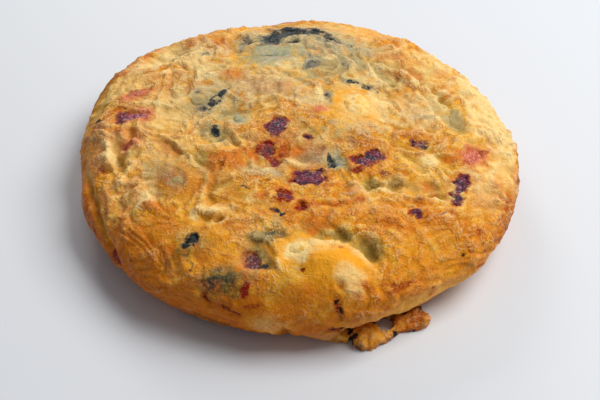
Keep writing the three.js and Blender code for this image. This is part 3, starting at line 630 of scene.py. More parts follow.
# How the skin is coloured: for each tint, the spots and how strongly it shows there.
PATCHES = {
    # Yellow is the potato under the thin egg; the broad patches along the right rim are partly painted
    # light, where the window's light falls.
    "yellow": [
        (18, -79, 22, 6, 4, 0, 0.7), (9, -74, 8, 4, 0, 0.4), (-26, -16.8, 9, 2.2, -6, 0.8),
        (38, -35.5, 6, 3, 0, 0.5), (13, -70, 16, 8, -22, 1), (0, -65, 8, 7, 0, 0.9),
        (20, 9, 8, 10.5, 10, 0.6), (45, -70, 12, 28, 9, 30, 1), (-30, -60, 18, 8, -30, 0.5),
        (-8, -83.4, 13, 9.5, 6.5, 0, 1), (34, 12, 7, 7, 0, 0.4), (-60, 35, 16, 16, 0, 0.45),
        (74, 20, 26, 10, 34, 0, 0.6), (72, -18, 8, 14, 0, 0.5), (30, 66, 27, 30, 10, -20, 0.5),
        (-30, 66, 27, 24, 8, 15, 0.4), (44, -58, 14, 8, 20, 0.4), (30, -44, 14, 5, 5, 0.4),
        (-22, -48, 12, 5, 0, 0.4), (-66, -30, 6, 14, 0, 0.3), (-45, 2, 10, 10, 0, 0.3),
    ],
    "pink": [
        (-58, 3, 4.5, 4.5, 0, 0.8), (-62, 16, 7, 3, 8, 0.7), (-61, -13, 3.5, 3, 0, 0.7),
        (63, -13, 6, 4, 35, 0.7), (8, 4.6, 2.2, 2.8, 0, 0.9), (-61, -12, 5, 5, 0, 0.5),
        (-65.4, 14.4, 3.6, 2.6, 10, 0.8), (-15.4, -69.6, 3.2, 3.6, 0, 0.3), (-57.5, 2, 4, 4.5, 0, 0.6),
        (67, -11, 5, 2, 30, 0.6), (-10, 18, 9, 4, 0, 0.25), (71.5, -26, 2.2, 3, 0, 0.5),
    ],
    "purple": [
        (-65.6, 2, 2.6, 3.4, 0, 0.7), (2.6, -28.9, 4, 1.3, 0, 0.85), (-8.6, -9.8, 2, 1.6, 0, 0.6),
        (8, -33.6, 2.4, 2, 0, 0.85), (-2, -42.2, 1.4, 1.6, 0, 0.8), (55.4, -36, 2.2, 3.4, -15, 0.45),
        (30.6, -20, 1.4, 2.4, 0, 0.7), (-62.5, -13.5, 1.6, 1.3, 0, 0.6), (41, -46.8, 1.7, 1.7, 0, 1),
        (3.4, -10.6, 1.9, 1.2, 0, 0.8), (41.8, -10.2, 1.6, 1.2, 0, 0.7), (46.6, -11.6, 1.9, 1.5, 0, 0.8),
        (-13, -66, 1, 1, 0, 0.8), (60.2, -28, 1.8, 3, -15, 0.6), (56, -36.6, 2.2, 3.6, -15, 0.55),
        (-7.6, -24, 1.2, 2.4, 15, 0.5), (31, -27.2, 1.8, 0.9, 10, 0.5),
    ],
    # Pale is the egg's own cream and the potato under it, and partly painted light: many small patches on
    # lips and ridge ends are painted highlights, and the broad ones along the right rim and over the back
    # are painted light and sheen from the window.
    "pale": [
        (7, 12, 5, 5, 0, 0.35), (66, -24, 9, 9, 0, 0.3), (22, 22, 7, 6, 0, 0.3), (24, -44, 8, 4, 0, 0.25),
        (-66, 25, 12, 9, 30, 0.35), (-56, -37, 10, 9, 0, 0.3), (-50, -24, 8, 12, 0, 0.2),
        (3, 11, 9, 8, 0, 0.3), (24, -4, 10, 5, 0, 0.3), (46, 8, 12, 11, 0, 0.35), (28, 26, 8, 5, 0, 0.35),
        (66, -32, 25, 8, 12, 60, 0.3), (-64, -50, 22, 14, 6, -50, 0.2), (-46, 46, 20, 14, -40, 0.5),
        (-44, 4, 32, 32, 0, 0.22), (-72, -14, 22, 12, 20, -75, 0.25), (74, -12, 24, 10, 18, 80, 0.3),
        (10, 40, 40, 26, 0, 0.14), (-14, 22, 20, 12, 0, 0.2), (12, 66, 27, 30, 10, 0, 0.25),
        (50, 40, 22, 14, -50, 0.25), (-51, -41, 3, 6, -30, 0.7), (-57, -33, 2, 5, -10, 0.5),
        (-60, 42, 7, 5, 20, 0.55), (-27, -48.2, 7, 2, 0, 0.55), (-34, -50.5, 1.6, 3, 20, 0.8),
        (1.4, -65.6, 4.6, 4.4, 30, 1), (9, -64, 5, 2.4, -10, 0.3), (18.5, 6, 4, 7, 10, 0.4),
        (30, 8, 5, 7, 10, 0.6), (8, -62, 5, 1.6, -5, 0.4), (18, -74.5, 5.5, 4.4, -20, 0.72),
        (21.5, -66, 4, 1.8, -38, 0.4), (31, -36, 5, 1.6, 0, 0.8), (23, -38, 3, 1.5, -20, 0.7),
        (48, -19.5, 3, 3.5, -40, 0.8), (51, -38, 4, 1.3, -10, 0.6), (51, -46, 4, 1.2, 10, 0.5),
        (45, 29, 2.6, 3.2, 20, 0.95), (28, 32, 1.2, 5, 0, 0.7), (30, 14, 5, 2.2, -45, 0.6),
        (12, 40, 2.4, 2, 0, 0.7), (8.2, 13.6, 0.9, 6.4, -3, 1), (-67.5, -17, 1.3, 8, 22, 0.8),
        (68, 34, 8, 14, -30, 0.8), (75, 10, 26, 9, 24, 5, 0.9), (-50, 8, 10, 12, 0, 0.3),
        (60, 50, 28, 14, 6, -45, 0.5), (-62, 41, 9, 7, 20, 0.5), (74, -22, 5, 9, 70, 0.3),
        (-69, -19, 1.4, 6, -25, 0.6), (-3, 35, 8, 4, 10, 0.35), (40, 2, 6, 4, 0, 0.3),
        (42, -71, 12.5, 26, 6, 32, 0.28), (9, -82.4, 6.4, 8, 3, 0, 0.4), (12, -20, 3, 3, 0, 0.4),
        (4, -54, 26, 6, 2, 0, 0.2), (-7.6, -83.6, 13.6, 6, 4.4, 0, 0.6), (0, -24, 5, 2.5, -20, 0.5),
        (-13, -28, 7, 2, -15, 0.4), (3, -13, 6, 2, -10, 0.3),
    ],
    # Olive is the thin egg over courgette, and partly painted shade: many of these patches sit in hollows,
    # pits and notches where shade falls.
    "olive": [
        (-46, -17, 8, 3, -45, 0.35), (-65, -21, 4, 4, -60, 0.8), (-43, -32, 12, 8, -35, 0.5),
        (-21, -40, 6, 6, 0, 0.4), (-29, -12, 4, 3, -40, 0.8), (-30, -50.5, 3.5, 1.6, 0, 0.7),
        (-31, -33, 2.5, 7, 15, 0.5), (16, -58.4, 4.5, 2.4, -12, 0.8), (25, -63, 3.4, 5, -5, 0.7),
        (-33, -25, 3, 8, 22, 0.45), (-46, -28, 7, 4, -20, 0.3), (-26, -12, 4, 2.4, -40, 0.7),
        (26, -33.5, 2.6, 3, 0, 0.5), (35, -32.5, 3.8, 2.4, -5, 0.65), (46.5, -35, 4.5, 4, 0, 0.25),
        (-3, -77, 22, 12, 4, 0, 0.25), (14, -24, 7, 5, 0, 0.5), (-38, 35, 2.5, 4, 0, 0.4),
        (-31, 27, 2, 5, 0, 0.5), (20, 57, 6, 4, 0, 0.4), (26, 46, 2, 5, 0, 0.4), (-37, 9, 9, 7, 60, 0.4),
        (-23, 6, 4, 9, 0, 0.35), (-8, -59.5, 8, 2.4, 5, 0.8), (-37, -64, 4, 2.2, 40, 0.8),
        (-30, -62, 4, 2, 20, 0.7), (-24, -75, 10, 5, 8, 0.7), (-11, -66, 6, 4, 0, 0.5),
        (35, 28, 5, 10, 15, 0.4), (10, 34, 14, 10, 0, 0.3), (4, -16, 22, 13, 0, 0.3),
        (60, 7, 6, 9, 10, 0.4), (-74, 30, 22, 4, 18, -80, 0.4), (-45, 43, 14, 10, 0, 0.2),
        (-16, 20, 22, 12, 0, 0.3), (30, 44, 16, 10, -30, 0.3), (-40, 22, 12, 14, 0, 0.25),
    ],
    # A dark olive laid mostly in pits and hollows as painted shade, and partly the dark green of courgette
    # under the egg.
    "moss_and_shade": [
        (-36, 6.6, 4, 4.8, 0, 0.6), (-19.4, 5.5, 1.2, 4, 20, 0.6), (-24, 13, 3, 4, 0, 0.35),
        (-27.4, -12, 2.4, 3.6, 40, 0.65), (-32, -8.5, 3.4, 3, 30, 0.5), (-53, 6, 7, 5, 0, 0.2),
        (-30, 28, 9, 6, 0, 0.2), (12, 36, 12, 6, 0, 0.2), (-10, -46, 9, 5, 0, 0.2),
        (-8, -60, 9, 3, 5, 0.3), (-36, -58, 10, 6, -20, 0.3), (47, -10, 6, 3, -10, 0.2),
        (-37, 11, 7, 7, 0, 0.4), (-44, 43, 12, 5, 0, 0.25), (-18, 9.5, 5, 4, 0, 0.25),
        (-31, -64, 9, 5, 20, 0.4), (-7, -58.6, 9, 3.6, 5, 0.45), (-5, -79, 22, 8, 4, 0, 0.3),
        (-24, -76, 8.5, 5.5, 8, 0.85), (-20, -77.6, 20, 6, 4, 8, 0.7), (-31.2, -6.6, 4.2, 4.6, 50, 0.85),
        (-34, -5, 3, 3, 0, 0.5), (-26, -14, 2, 3, 30, 0.4), (25.4, -62.6, 2.2, 3.4, -5, 0.25),
        (35, -32.2, 2.8, 1.6, -5, 0.4), (-30, -61, 3.4, 2.6, 20, 0.75), (-33.6, -65, 3.4, 2.4, 20, 0.5),
        (-41.6, -66, 1.8, 5.6, 8, 0.75), (8.8, -19.5, 2.4, 2, 0, 0.4), (-9, -59.8, 6, 1.8, 5, 0.5),
        (-7.4, -70.4, 2.4, 2.6, 0, 0.6), (-2.2, -82, 8, 4.4, 1.8, 80, 0.6),
        (-12, -81, 3.6, 8, 2, 0, 0.35), (-26, -80.5, 8, 7, 3, 10, 0.5), (-58.5, -17, 2.4, 4, 20, 0.3),
        (4.4, 35.8, 3, 5, 0, 0.6), (18, 40, 16, 12, 0, 0.16), (50, -48, 20, 14, 0, 0.08),
        (0, -14, 24, 16, 0, 0.1), (-36, 4, 3, 4, -20, 0.5), (-30.6, 13.6, 2.2, 4, -30, 0.5),
    ],
    # Blue-grey: the small patches are courgette flesh under the egg, and the broad, faint ones, most of them
    # over the back, are partly painted sheen from the window.
    "grey_and_sheen": [
        (-43.4, -33.4, 4.6, 4, -20, 0.3), (-39, 17, 3, 3, 0, 0.35), (-12, 20, 16, 6, 0, 0.2),
        (-16, -56, 10, 8, 0, 0.15), (6, 10.5, 9, 5, 0, 0.35), (22, -4, 10, 5, 0, 0.25),
        (46, 8, 11, 10, 0, 0.25), (14, -22.8, 1.9, 3.4, 5, 0.95), (-21.8, 0.4, 2.6, 3.2, 10, 0.7),
        (-9.4, 41, 8, 5.6, -10, 0.7), (2, -16, 24, 14, 0, 0.16), (-11, -28.6, 8, 2.6, -12, 0.4),
        (6, -20, 9, 5, 0, 0.3), (-44, 44, 24, 15, -40, 0.24), (-2, 62, 28, 40, 18, 0, 0.26),
        (-38, 8, 22, 18, 0, 0.14), (-12, 22, 18, 12, 0, 0.25), (16, 44, 16, 12, 0, 0.3),
        (4.5, 36, 3, 3, 0, 0.4), (12.2, 14, 1.2, 3, 10, 0.5), (8.5, 12.4, 0.9, 3.6, -8, 0.55),
    ],
    "grey_green": [
        (-50, -30, 7, 4, 0, 0.4), (-10, 42, 13, 9, -10, 0.9), (-2, 55, 24, 10, -5, 0.75),
        (14, 36, 20, 15, 0, 0.55), (40, 16, 20, 14, 0, 0.25), (-12, -29.4, 9, 3, -12, 0.5),
        (9, -21, 8, 5, 0, 0.4), (-2, 0, 14, 5, 0, 0.2), (-9, 38, 11, 5, -5, 0.6),
        (-36, 8, 8, 11, 20, 0.5), (-18, 52, 5, 9, -20, 0.5), (4, 34, 4, 6, -15, 0.6),
        (16.5, 34, 2.5, 3, 0, 0.7), (19, 24, 6, 3, -10, 0.6), (27, 20.5, 4, 2.2, -25, 0.6),
        (32, 29, 2, 6, 10, 0.6), (59.5, 5, 4.5, 7, 5, 0.12), (64, 24, 2.5, 4.5, 0, 0.5),
        (-37.5, 7.5, 4, 5, 10, 0.7), (-22, 0, 2.5, 3.2, 10, 0.8), (-23, 9, 2, 3.5, 0, 0.5),
        (-34, -6, 4, 5, 0, 0.4), (15, -24, 3, 5, 0, 0.7), (-53, 8, 3.5, 2, -30, 0.55),
        (-38, 43.5, 2.6, 2.6, 0, 0.8), (-38, 28, 3, 4, 0, 0.4), (-40.5, -34.5, 3.6, 3.6, 30, 0.5),
        (-24, -74.5, 10, 5.5, 10, 0.6), (-30, -64, 3.5, 3, 0, 0.5), (-13, -69, 6, 6, 0, 0.4),
        (50, 5, 5, 3, 10, 0.25), (-6, -53, 2.5, 2.5, 0, 0.5), (-28, 5, 5, 6, 0, 0.3),
        (11, 13, 3, 4, 0, 0.5),
    ],
    "orange": [
        (-22, -80, 12, 8, 4.5, 12, 0.9), (-12, -82, 18.6, 5, 2.4, 15, 0.8), (7, -83, 10, 7, 4, 0, 0.5),
        (-45, -62, 14, 36, 13, -40, 0.7), (0, -80, 12, 34, 9, 0, 0.5), (40, -68, 20, 18, 6, 30, 0.3),
        (-76, -20, 12, 24, 11, -75, 0.6), (-25, -23.4, 7.5, 5, -8, 0.9), (-16.5, -19.6, 2.4, 3, 30, 0.9),
        (-26, 29, 5, 5, -20, 0.6), (-16, 24, 4, 2.5, 0, 0.35), (-4, 19, 2.5, 4, 0, 0.4),
        (42, 44, 5, 3, -50, 0.45), (46, 36, 3, 5, -10, 0.6), (38, 60, 5, 4, 0, 0.3),
        (34, -52.6, 5.5, 2.2, -6, 0.95), (6, -54, 4, 3.6, 20, 0.85), (0, -52, 4, 3, 0, 0.5),
        (20, -38.5, 6, 2, 10, 0.4), (-45, -46, 5, 2.6, -10, 0.7), (-43, -53, 8, 3, -30, 0.5),
        (-56, -33, 3, 6, 0, 0.5), (-20, -55, 8, 2.4, 0, 0.45), (-46, 57, 2.4, 8, 0, 0.55),
        (-33, 55, 4.5, 5.5, 0, 0.6), (-67, 8, 1.6, 2, 0, 0.8), (-61, -7, 6, 3, -20, 0.6),
        (-57, 27, 3, 3, 0, 0.4), (22, 14.3, 2, 1.4, 0, 0.7), (-23.6, -7, 0.9, 4, 20, 0.4),
        (15, -13, 2.4, 2, 0, 0.6), (56.5, -17.5, 4, 2.2, -15, 0.8), (22, -42.6, 2.6, 3.2, -20, 0.8),
        (-4.5, -19.5, 4, 4, -10, 0.8), (-10.5, -41, 3.4, 2.4, 15, 0.8), (5, -18, 7, 5, 0, 0.35),
        (-4, -17, 6, 4.5, -10, 0.6), (64, -40, 8, 8, 0, 0.3), (33, 43, 4, 5, 0, 0.25),
        (57, 38, 4, 4, 0, 0.5), (-30, -33, 1.4, 6, 10, 0.25), (-46, -17, 7, 3, -45, 0.5),
        (-40, -36, 12, 8, -35, 0.3), (20, -48, 40, 8, 0, 0.25), (42, -50, 22, 10, 0, 0.35),
        (-1, -81, 19, 14, 6, 0, 0.35), (-26, -26, 9, 9, 0, 0.3), (47, -33, 4, 4, 0, 0.6),
        (-8, -12, 9, 10, 0, 0.35), (4, -30, 9, 7, 0, 0.35), (27, -22, 9, 7, 0, 0.35),
        (40, -30, 10, 4, 0, 0.2), (-20, -79, 16, 7, 4, 10, 0.6), (-52, -58, 24, 12, 8, -45, 0.35),
        (35, -73, 17, 12, 6, 25, 0.4), (56, -60, 15, 14, 6, 45, 0.4),
    ],
    "red": [
        (-12.6, -82, 19, 3.4, 1.2, 15, 0.55), (-12, -16.5, 2.6, 3, 0, 0.8), (-8, -23, 2, 4, 20, 0.7),
        (-0.5, -29.5, 2.2, 3, 0, 0.7), (-10, -41, 2.4, 1.6, 20, 0.35), (-5, -42, 4.5, 3, 10, 0.5),
        (2, -46, 3, 2.6, 0, 0.75), (11, -45, 7, 0.9, 6, 0.25), (22, -42.6, 2, 2.8, -20, 0.5),
        (39, -47, 1.7, 1.7, 0, 0.8), (22.5, -26, 3.4, 1.6, 25, 0.8), (31, -27.5, 3.4, 1.4, 10, 0.5),
        (3.4, -10.5, 2.6, 1.8, 0, 0.7), (44, -10.5, 4.5, 2.2, -10, 0.55), (69, -10, 3, 1.8, 30, 0.6),
        (61, -18, 3, 1.6, 30, 0.4), (71.5, -26, 1.6, 2.4, 0, 0.5), (56.5, -38.5, 2.6, 2, -10, 0.3),
        (-65.8, 2.4, 3.4, 4, 0, 0.7), (-60, 17.4, 2.6, 1.6, 8, 0.6), (-15, -69.8, 2.4, 3, 0, 0.45),
        (8.6, -33.6, 2.8, 2.4, 0, 0.7), (-2, -42.4, 2, 2.2, 0, 0.8), (-4.2, -18.6, 3.6, 3.6, 0, 0.5),
        (-66, -5.5, 2.6, 1.8, 0, 0.55), (-62, -13, 3.4, 2.4, 0, 0.45), (-13, -65.5, 1.2, 1.2, 0, 0.8),
        (-15.6, -79.2, 24, 1.7, 2.6, -24, 0.85), (-72, 36, 25, 1.6, 3, -60, 0.5),
        (-70, -24, 2, 2, 0, 0.5), (3, -72, 0.8, 0.8, 0, 1), (15, -64, 1, 1, 0, 0.6),
        (-80, -26, 6, 14, 3.4, -80, 0.8), (-66, -52, 5, 12, 3, -48, 0.6),
        (-61.7, -56.5, 13, 3, 2.6, -45, 0.8), (62, -49, 2, 1.4, 30, 0.5), (33, -73.5, 19, 5, 1, 30, 0.5),
        (10, -28.5, 2, 3, 0, 0.4),
    ],
    "slate": [
        (-11.5, 56, 5.5, 9.5, -8, 1), (-3, 62, 13, 6, 0, 0.8), (11, 56, 8, 4, -40, 0.8),
        (-3, 54, 7, 4, 0, 0.4), (-22, 55, 3, 4, 0, 0.6), (-24.5, 47, 2, 3.5, 0, 0.5),
        (-38, 43.5, 2.2, 2.2, 0, 0.8), (17, 35, 2, 3, 0, 0.6), (4.4, 35, 3.2, 4.6, -10, 0.7),
        (-35.5, 4.5, 3.2, 4.6, -20, 0.8), (-31, 14, 2.4, 4, -30, 0.6), (-21.5, 0.5, 2, 2.6, 10, 0.5),
        (11, 13, 2.4, 4.2, 15, 0.9), (20.5, 23, 4, 2, -10, 0.7), (27, 20, 3.6, 1.6, -30, 0.6),
        (-41.4, -66, 1.6, 5, 8, 0.3), (-30.5, -62, 2.4, 1.6, 20, 0.6), (-7, -59.4, 5.5, 1.8, 5, 0.5),
    ],
    "dark_green": [
        (-27.6, -12, 2.2, 3.4, 40, 0.3), (-31.4, -9, 2.6, 2.4, 0, 0.25), (-36.6, 6, 2.4, 3.2, 0, 0.35),
        (-10.6, 57.5, 5, 5.5, -10, 0.9), (-10.5, 53, 2.6, 4, 15, 0.5), (-3, 63.6, 9, 3, 0, 0.95),
        (7, 61.5, 5, 2.6, -25, 0.85), (12, 56, 4, 2, -45, 0.6), (-3, 52.4, 3.6, 1.9, 25, 1),
        (-22, 55, 1.6, 2.6, 0, 0.5), (-24.5, 47, 1.4, 2.6, 0, 0.4), (-38, 43.5, 1.7, 1.6, 0, 0.6),
        (-29, 15.4, 1.1, 2.4, -30, 1), (-32.4, 9, 1.2, 2.2, -35, 0.8), (-35.4, 5, 1.6, 2, -20, 0.6),
        (-29.6, -6.8, 1.1, 1.5, 25, 0.9), (11.6, -21.6, 1, 2.8, 8, 1), (10.8, 13.4, 1.5, 2.6, 15, 0.6),
        (20.3, 23.2, 1.6, 1.4, 0, 0.95), (26, 20.5, 2.6, 0.9, -30, 0.6), (17, 35, 0.9, 1.6, 0, 0.6),
        (-34.1, -61.2, 3.3, 2.2, 32, 1), (-42, -68, 1, 2.4, 5, 0.4), (-24, -74.6, 7, 4, 8, 0.5),
        (-6, -60, 3.5, 0.8, 5, 0.4), (-9.5, -70.6, 1.5, 1.5, 0, 0.8), (-38.5, 16, 1.5, 0.9, 20, 0.6),
        (23, -21.8, 1, 1.4, 0, 0.8), (-74.5, -9, 0.8, 1.2, 0, 0.4), (-18, 6, 0.9, 3, 0, 0.4),
        (-35, -65.5, 2.4, 0.9, 20, 0.4),
    ],
    # Near black: burnt flecks and dark pores, and, low on the front side, thin lines of painted shade in
    # creases and under overhangs.
    "burnt_and_shade": [
        (-73.8, 1.6, 1.6, 1.5, 20, 1), (-25.6, -22.6, 0.7, 0.6, 0, 0.6), (-27.7, -25.1, 0.5, 0.4, 0, 0.9),
        (-26.4, -25.8, 0.6, 0.4, 0, 0.9), (-25.8, -26.8, 0.5, 0.35, 0, 0.9),
        (-20.8, -25.2, 0.4, 0.4, 0, 0.8), (-3.2, 52.6, 2.6, 1.2, 25, 0.9),
        (2.4, -46.6, 1.8, 1.4, -20, 0.6), (42.4, -10.4, 1.4, 1, 0, 0.6), (46.6, -11.8, 1.5, 1.3, 0, 0.75),
        (3.4, -10.6, 1.3, 0.9, 0, 0.7), (55.5, -58, 20, 1, 0.7, 30, 0.8),
        (-54, -62, 18, 0.5, 0.5, 0, 0.9), (-33, -71, 23, 0.8, 0.8, 0, 0.8), (-24, -51.8, 2, 1.4, 0, 0.35),
        (-48.5, -36, 0.6, 1.6, 0, 0.4), (45, -68, 16, 0.8, 0.6, 0, 0.7),
        (62.5, -52, 17, 1.2, 0.8, 20, 0.5), (-74, -8, 0.7, 1.4, 0, 0.4), (-27, -83, 6, 9, 1.6, 0, 0.5),
        (-57, -63, 3, 8, 2.2, -45, 0.5),
    ],
}
# Thin lines of colour in the skin: the path, over the top or along the side, half the width, the
# strength.
LINES = {
    "slate": [
        ([(43.5, 5), (46, 3.4), (48, 4.2), (49.5, 5.2), (52, 5.6)], 0.9, 0.55),
        ([(-21, 3), (-18, 4), (-13, 3.4)], 0.7, 0.35),
    ],
    # A line of painted shade in the crease that curves over the browned potato slice.
    "moss_and_shade": [
        ([(-46, -26), (-41.5, -28.4), (-38.6, -32.6), (-38, -37)], 0.7, 0.7),
    ],
    "dark_green": [
        ([(-27, 19.4), (-30, 15.6), (-32.6, 11.4), (-34, 8)], 0.45, 0.85),
        ([(-8.6, -47.6), (-7, -48.2), (-5.6, -49.4)], 0.45, 1),
        ([(-5, -50.6), (-3.6, -49.8), (-4.4, -51)], 0.4, 1),
        ([(-19, -37.2), (-17.4, -37), (-16, -38)], 0.4, 0.8),
    ],
    "red": [
        ([(-29.5, -77.4, 18.4), (-23, -80, 17), (-17.1, -81.5, 15.5)], 0.9, 0.5),
        ([(-18, -81, 11.6), (-24, -79.2, 12)], 1.4, 0.4),
        ([(20, -80.2, 9), (15.5, -81.4, 10.8), (12.4, -82, 11.6)], 1.6, 0.7),
        ([(14, -80.2, 22), (14.6, -81.6, 18), (15.6, -82.6, 15)], 1.3, 0.5),
        ([(4, -45.4), (8, -44.6), (13, -45.2), (18, -44)], 0.35, 0.35),
        ([(42, -48.4), (47, -47.6), (51, -45.4)], 0.45, 0.5),
        ([(42, -49.6), (46, -49.4), (50, -48)], 0.4, 0.4),
        ([(-25, -4), (-23.6, -8), (-21.4, -13)], 0.3, 0.35),
        ([(28, -74.6), (34, -73), (40, -70.4)], 0.6, 0.5),
        ([(13.6, -80.6), (14.2, -81.4), (15.4, -82.4)], 0.5, 0.7),
    ],
    # Painted shadow in the crevice between the omelette and the scrap, along the low front edge and in the
    # side creases.
    "burnt_and_shade": [
        ([(21, -79.6, 8.6), (18.4, -80.8, 9.4), (15, -81.6, 11), (13, -81.9, 11.9)], 0.7, 0.85),
        ([(10.6, -82.4, 9), (6.4, -82.8, 8.4)], 0.4, 0.5),
        ([(-20, -82, 3), (-28, -79.5, 3.4), (-35, -76, 3)], 0.7, 0.4),
        ([(14.4, -80.2), (13.6, -80.8)], 0.34, 1), ([(14.8, -81.8), (15.6, -82.6)], 0.42, 1),
        ([(-29, -77.6, 18.3), (-26, -79, 17.8)], 0.4, 0.6),
        ([(-22.4, -80.2, 17), (-17.1, -81.5, 15.4)], 0.45, 0.75),
    ],
    "orange": [
        ([(4, -45.4), (8, -44.6), (13, -45.2), (19, -44)], 1.1, 0.8),
        ([(9, -36), (14, -35), (18, -34)], 0.6, 0.7),
        ([(24, -11), (30, -13.4), (38, -16), (45, -17.4)], 0.7, 0.5),
        ([(-29.6, -28), (-29, -34), (-31, -41)], 0.9, 0.3),
    ],
}
coarse_rag = 0.42 * rough(places, 3.2, 13) + 0.16 * curd
tints = {}
for tint, patches in PATCHES.items():
    bare = np.ones(len(places))
    for *spot, strength in patches:
        spread = distance_to(places, spot) + coarse_rag * min(1, min(spot[-3:-1]) / 2)
        bare *= 1 - strength * (1 - rise(0.5, 1.35, spread))
    for path, width, strength in LINES.get(tint, []):
        gap = along_path(places + 0.4 * (winding - places), on_skin(path))[0] / width
        bare *= 1 - strength * (1 - rise(0.5, 1.6, gap)) * ((places[:, 2] > WIDEST) | (len(path[0]) == 3))
    tints[tint] = 1 - bare
# The relief shows in the tints too: lips and crests are paler, partly as thinner egg and partly as painted
# highlight, and hollows, pits and folds are darker and greener, partly as the egg's own colour and partly as
# painted shade. The rest is broad mottling.
hollow = np.clip(-stand, 0, 1)
smooth_lumps = bell(distance_to(places, (12, -68, 20, 13, -20)))
varied = high_up * (1 - smooth_lumps)
for tint, more in (
    ("pale", (0.4 * lip_share + 0.25 * np.clip(crest, 0, 1) ** 1.5) * high_up),
    ("pale", 0.12 * np.clip(rough(places, 5.5, 73) - 0.1, 0, 1) * high_up),
    ("olive", 0.1 * drop_share + 0.2 * pit_share + 0.15 * np.clip(-crest, 0, 1)),
    ("olive", 0.34 * hollow * high_up),
    ("olive", 0.14 * np.clip(rough(places, 9, 70), 0, 1) * varied),
    ("grey_green", 0.2 * hollow * high_up),
    ("grey_green", 0.12 * np.clip(rough(places, 11, 71) - 0.15, 0, 1) * varied),
    ("orange", 0.24 * np.clip(rough(places, 6, 72) - 0.1, 0, 1)),
):
    tints[tint] = np.clip(tints[tint] + more, 0, 1)
for look, depth in inward.items():
    near = np.where(depth > -5)[0]
    for i, (tint, start, full, strength) in enumerate(RIMS[look]):
        amount = strength * rise(start, full, depth[near] + 0.9 * rough(places[near], 3.5, 50 + i))
        tints[tint][near] = np.maximum(tints[tint][near], amount * (0.2 + 0.8 * clear[near]))
tints["wrinkled"] = 0.3 + 0.33 * high_up - 0.6 * smooth_lumps + 0.3 * crest + 0.4 * stand
for *spot, share in SMOOTH:
    tints["wrinkled"] -= 0.7 * share * (1 - rise(0.5, 1.2, distance_to(places, spot)))
# The browning: pits and fold drops are browner and crests paler, partly as painted shade and highlight, and
# the low edge at the front left is darker as painted shade, where that side lies in the omelette's own
# shade.
tints["fried"] = np.clip(
    0.41
    - 0.08 * crest
    + 0.18 * stand
    + 0.25 * pit_share
    + 0.04 * drop_share
    - 0.22 * smooth_lumps
    + 0.14 * rough(places, 23, 14)
    + 0.08 * rough(places, 8, 15)
    + 0.26 * (1 - high_up)
    + 0.14 * (1 - rise(2, 8, places[:, 2])) * (1 - rise(-30, 10, places[:, 0]))
    + 0.04 * (ring_number > SIDE_RINGS),
    0,
    1,
)


def carry(mesh, shares):
    """Gives a mesh each of the shares as an attribute, for its finish to read."""
    for name, amount in shares.items():
        mesh.attributes.new(name, "FLOAT", "POINT").data.foreach_set("value", amount.astype(np.float32))


carry(egg_mesh, tints)

# Fried egg: moist and a little translucent, with an oily sheen, so soft highlights show on its crests.
# Its speckle is 1 to 3 mm across, as the blisters of egg on a hot pan are. From the palest egg to the
# most browned, the speckle's (width, strength), and how wide its grains are:
FRIED = [(0, "F8DA8C"), (0.3, "F0B544"), (0.5, "DC8C10"), (0.68, "C46806"), (0.84, "A24C05"), (1, "6C2E05")]
SPECKS = [(2.6, 0.09), (1.2, 0.1)]
GRAIN = 0.75
# Each tint: its colour, how wide the specks are that break it up, how ragged it is.
# Of these, olive, grey-green, the dark olive and the near black are partly painted shade in hollows and
# creases, and pale and blue-grey are partly painted highlight and sheen.
TINTS = [
    ("olive", "94701E", 1.4, 0.5), ("grey_green", "9C9A6E", 1.2, 0.6), ("moss_and_shade", "5C5226", 1.1, 0.8),
    ("grey_and_sheen", "A8AEA2", 1.2, 0.5), ("slate", "4A585E", 1.6, 0.9), ("yellow", "FFAE28", 1.2, 0.35),
    ("pale", "FFE09A", 1.1, 0.5), ("orange", "D67416", 1, 0.7), ("pink", "DE7854", 0.9, 0.7),
    ("red", "8E1A12", 0.8, 0.9), ("purple", "5C2446", 0.8, 0.9), ("dark_green", "24323C", 1.1, 0.8),
    ("burnt_and_shade", "1A0E0C", 0.9, 0.5),
]
# These end in a sharper line than the others.
CRISP_EDGED = ("dark_green", "burnt_and_shade", "red", "purple")
# Painted highlights: cream glints on the crests and grains, laid over the tints up to these: above which
# height, and how strongly.
PAINTED_GLINTS = {"pale": (0.85, 0.38), "purple": (1.15, 0.3)}
# The range that nearly all of the noise lies in.
MOST_NOISE = (0.25, 0.75)


def mottling(tree, coordinates, width, least, most, ends=(0.3, 0.7), detail=3.0, swirl=0.0):
    """Values from least to most, in soft lumps of that width in millimetres."""
    inputs = {"Vector": coordinates, "Scale": 1 / (width * MM), "Detail": detail, "Roughness": 0.6}
    lumps = add(tree, "TexNoise", {**inputs, "Distortion": swirl})
    return add(tree, "MapRange", [lumps, *ends, least, most])


def grains_of(tree, coordinates, width):
    """Small round grains of that width in millimetres, as a value from 0 between them to 1."""
    cells = add(tree, "TexVoronoi", {"Vector": coordinates, "Scale": 1 / (width * MM)})
    return add(tree, "MapRange", [cells, 0.3, 0.75, 1, 0])


def crinkles(tree, coordinates):
    """The skin's thin wrinkles and its blistered grains, each from 0 in its hollows to 1 on its crests,
    and how strongly the skin shows them."""
    inputs = {"Scale": 1 / (3.8 * MM), "Detail": 5.0, "Roughness": 0.6, "Lacunarity": 2.1, "Distortion": 0.8}
    inputs.update({"Vector": coordinates, "Offset": 0.9, "Gain": 1.6})
    ridged = add(tree, "TexNoise", inputs, noise_type="RIDGED_MULTIFRACTAL")
    wrinkled = add(tree, "Attribute", output="Fac", attribute_name="wrinkled")
    wrinkled = add(tree, "Math", [wrinkled, mottling(tree, coordinates, 9.0, -0.3, 0.3, (0.35, 0.65))])
    strength = add(tree, "MapRange", [wrinkled, 0, 1, 0, 1])
    return add(tree, "MapRange", [ridged, 0.2, 1.6, 0, 1]), grains_of(tree, coordinates, GRAIN), strength


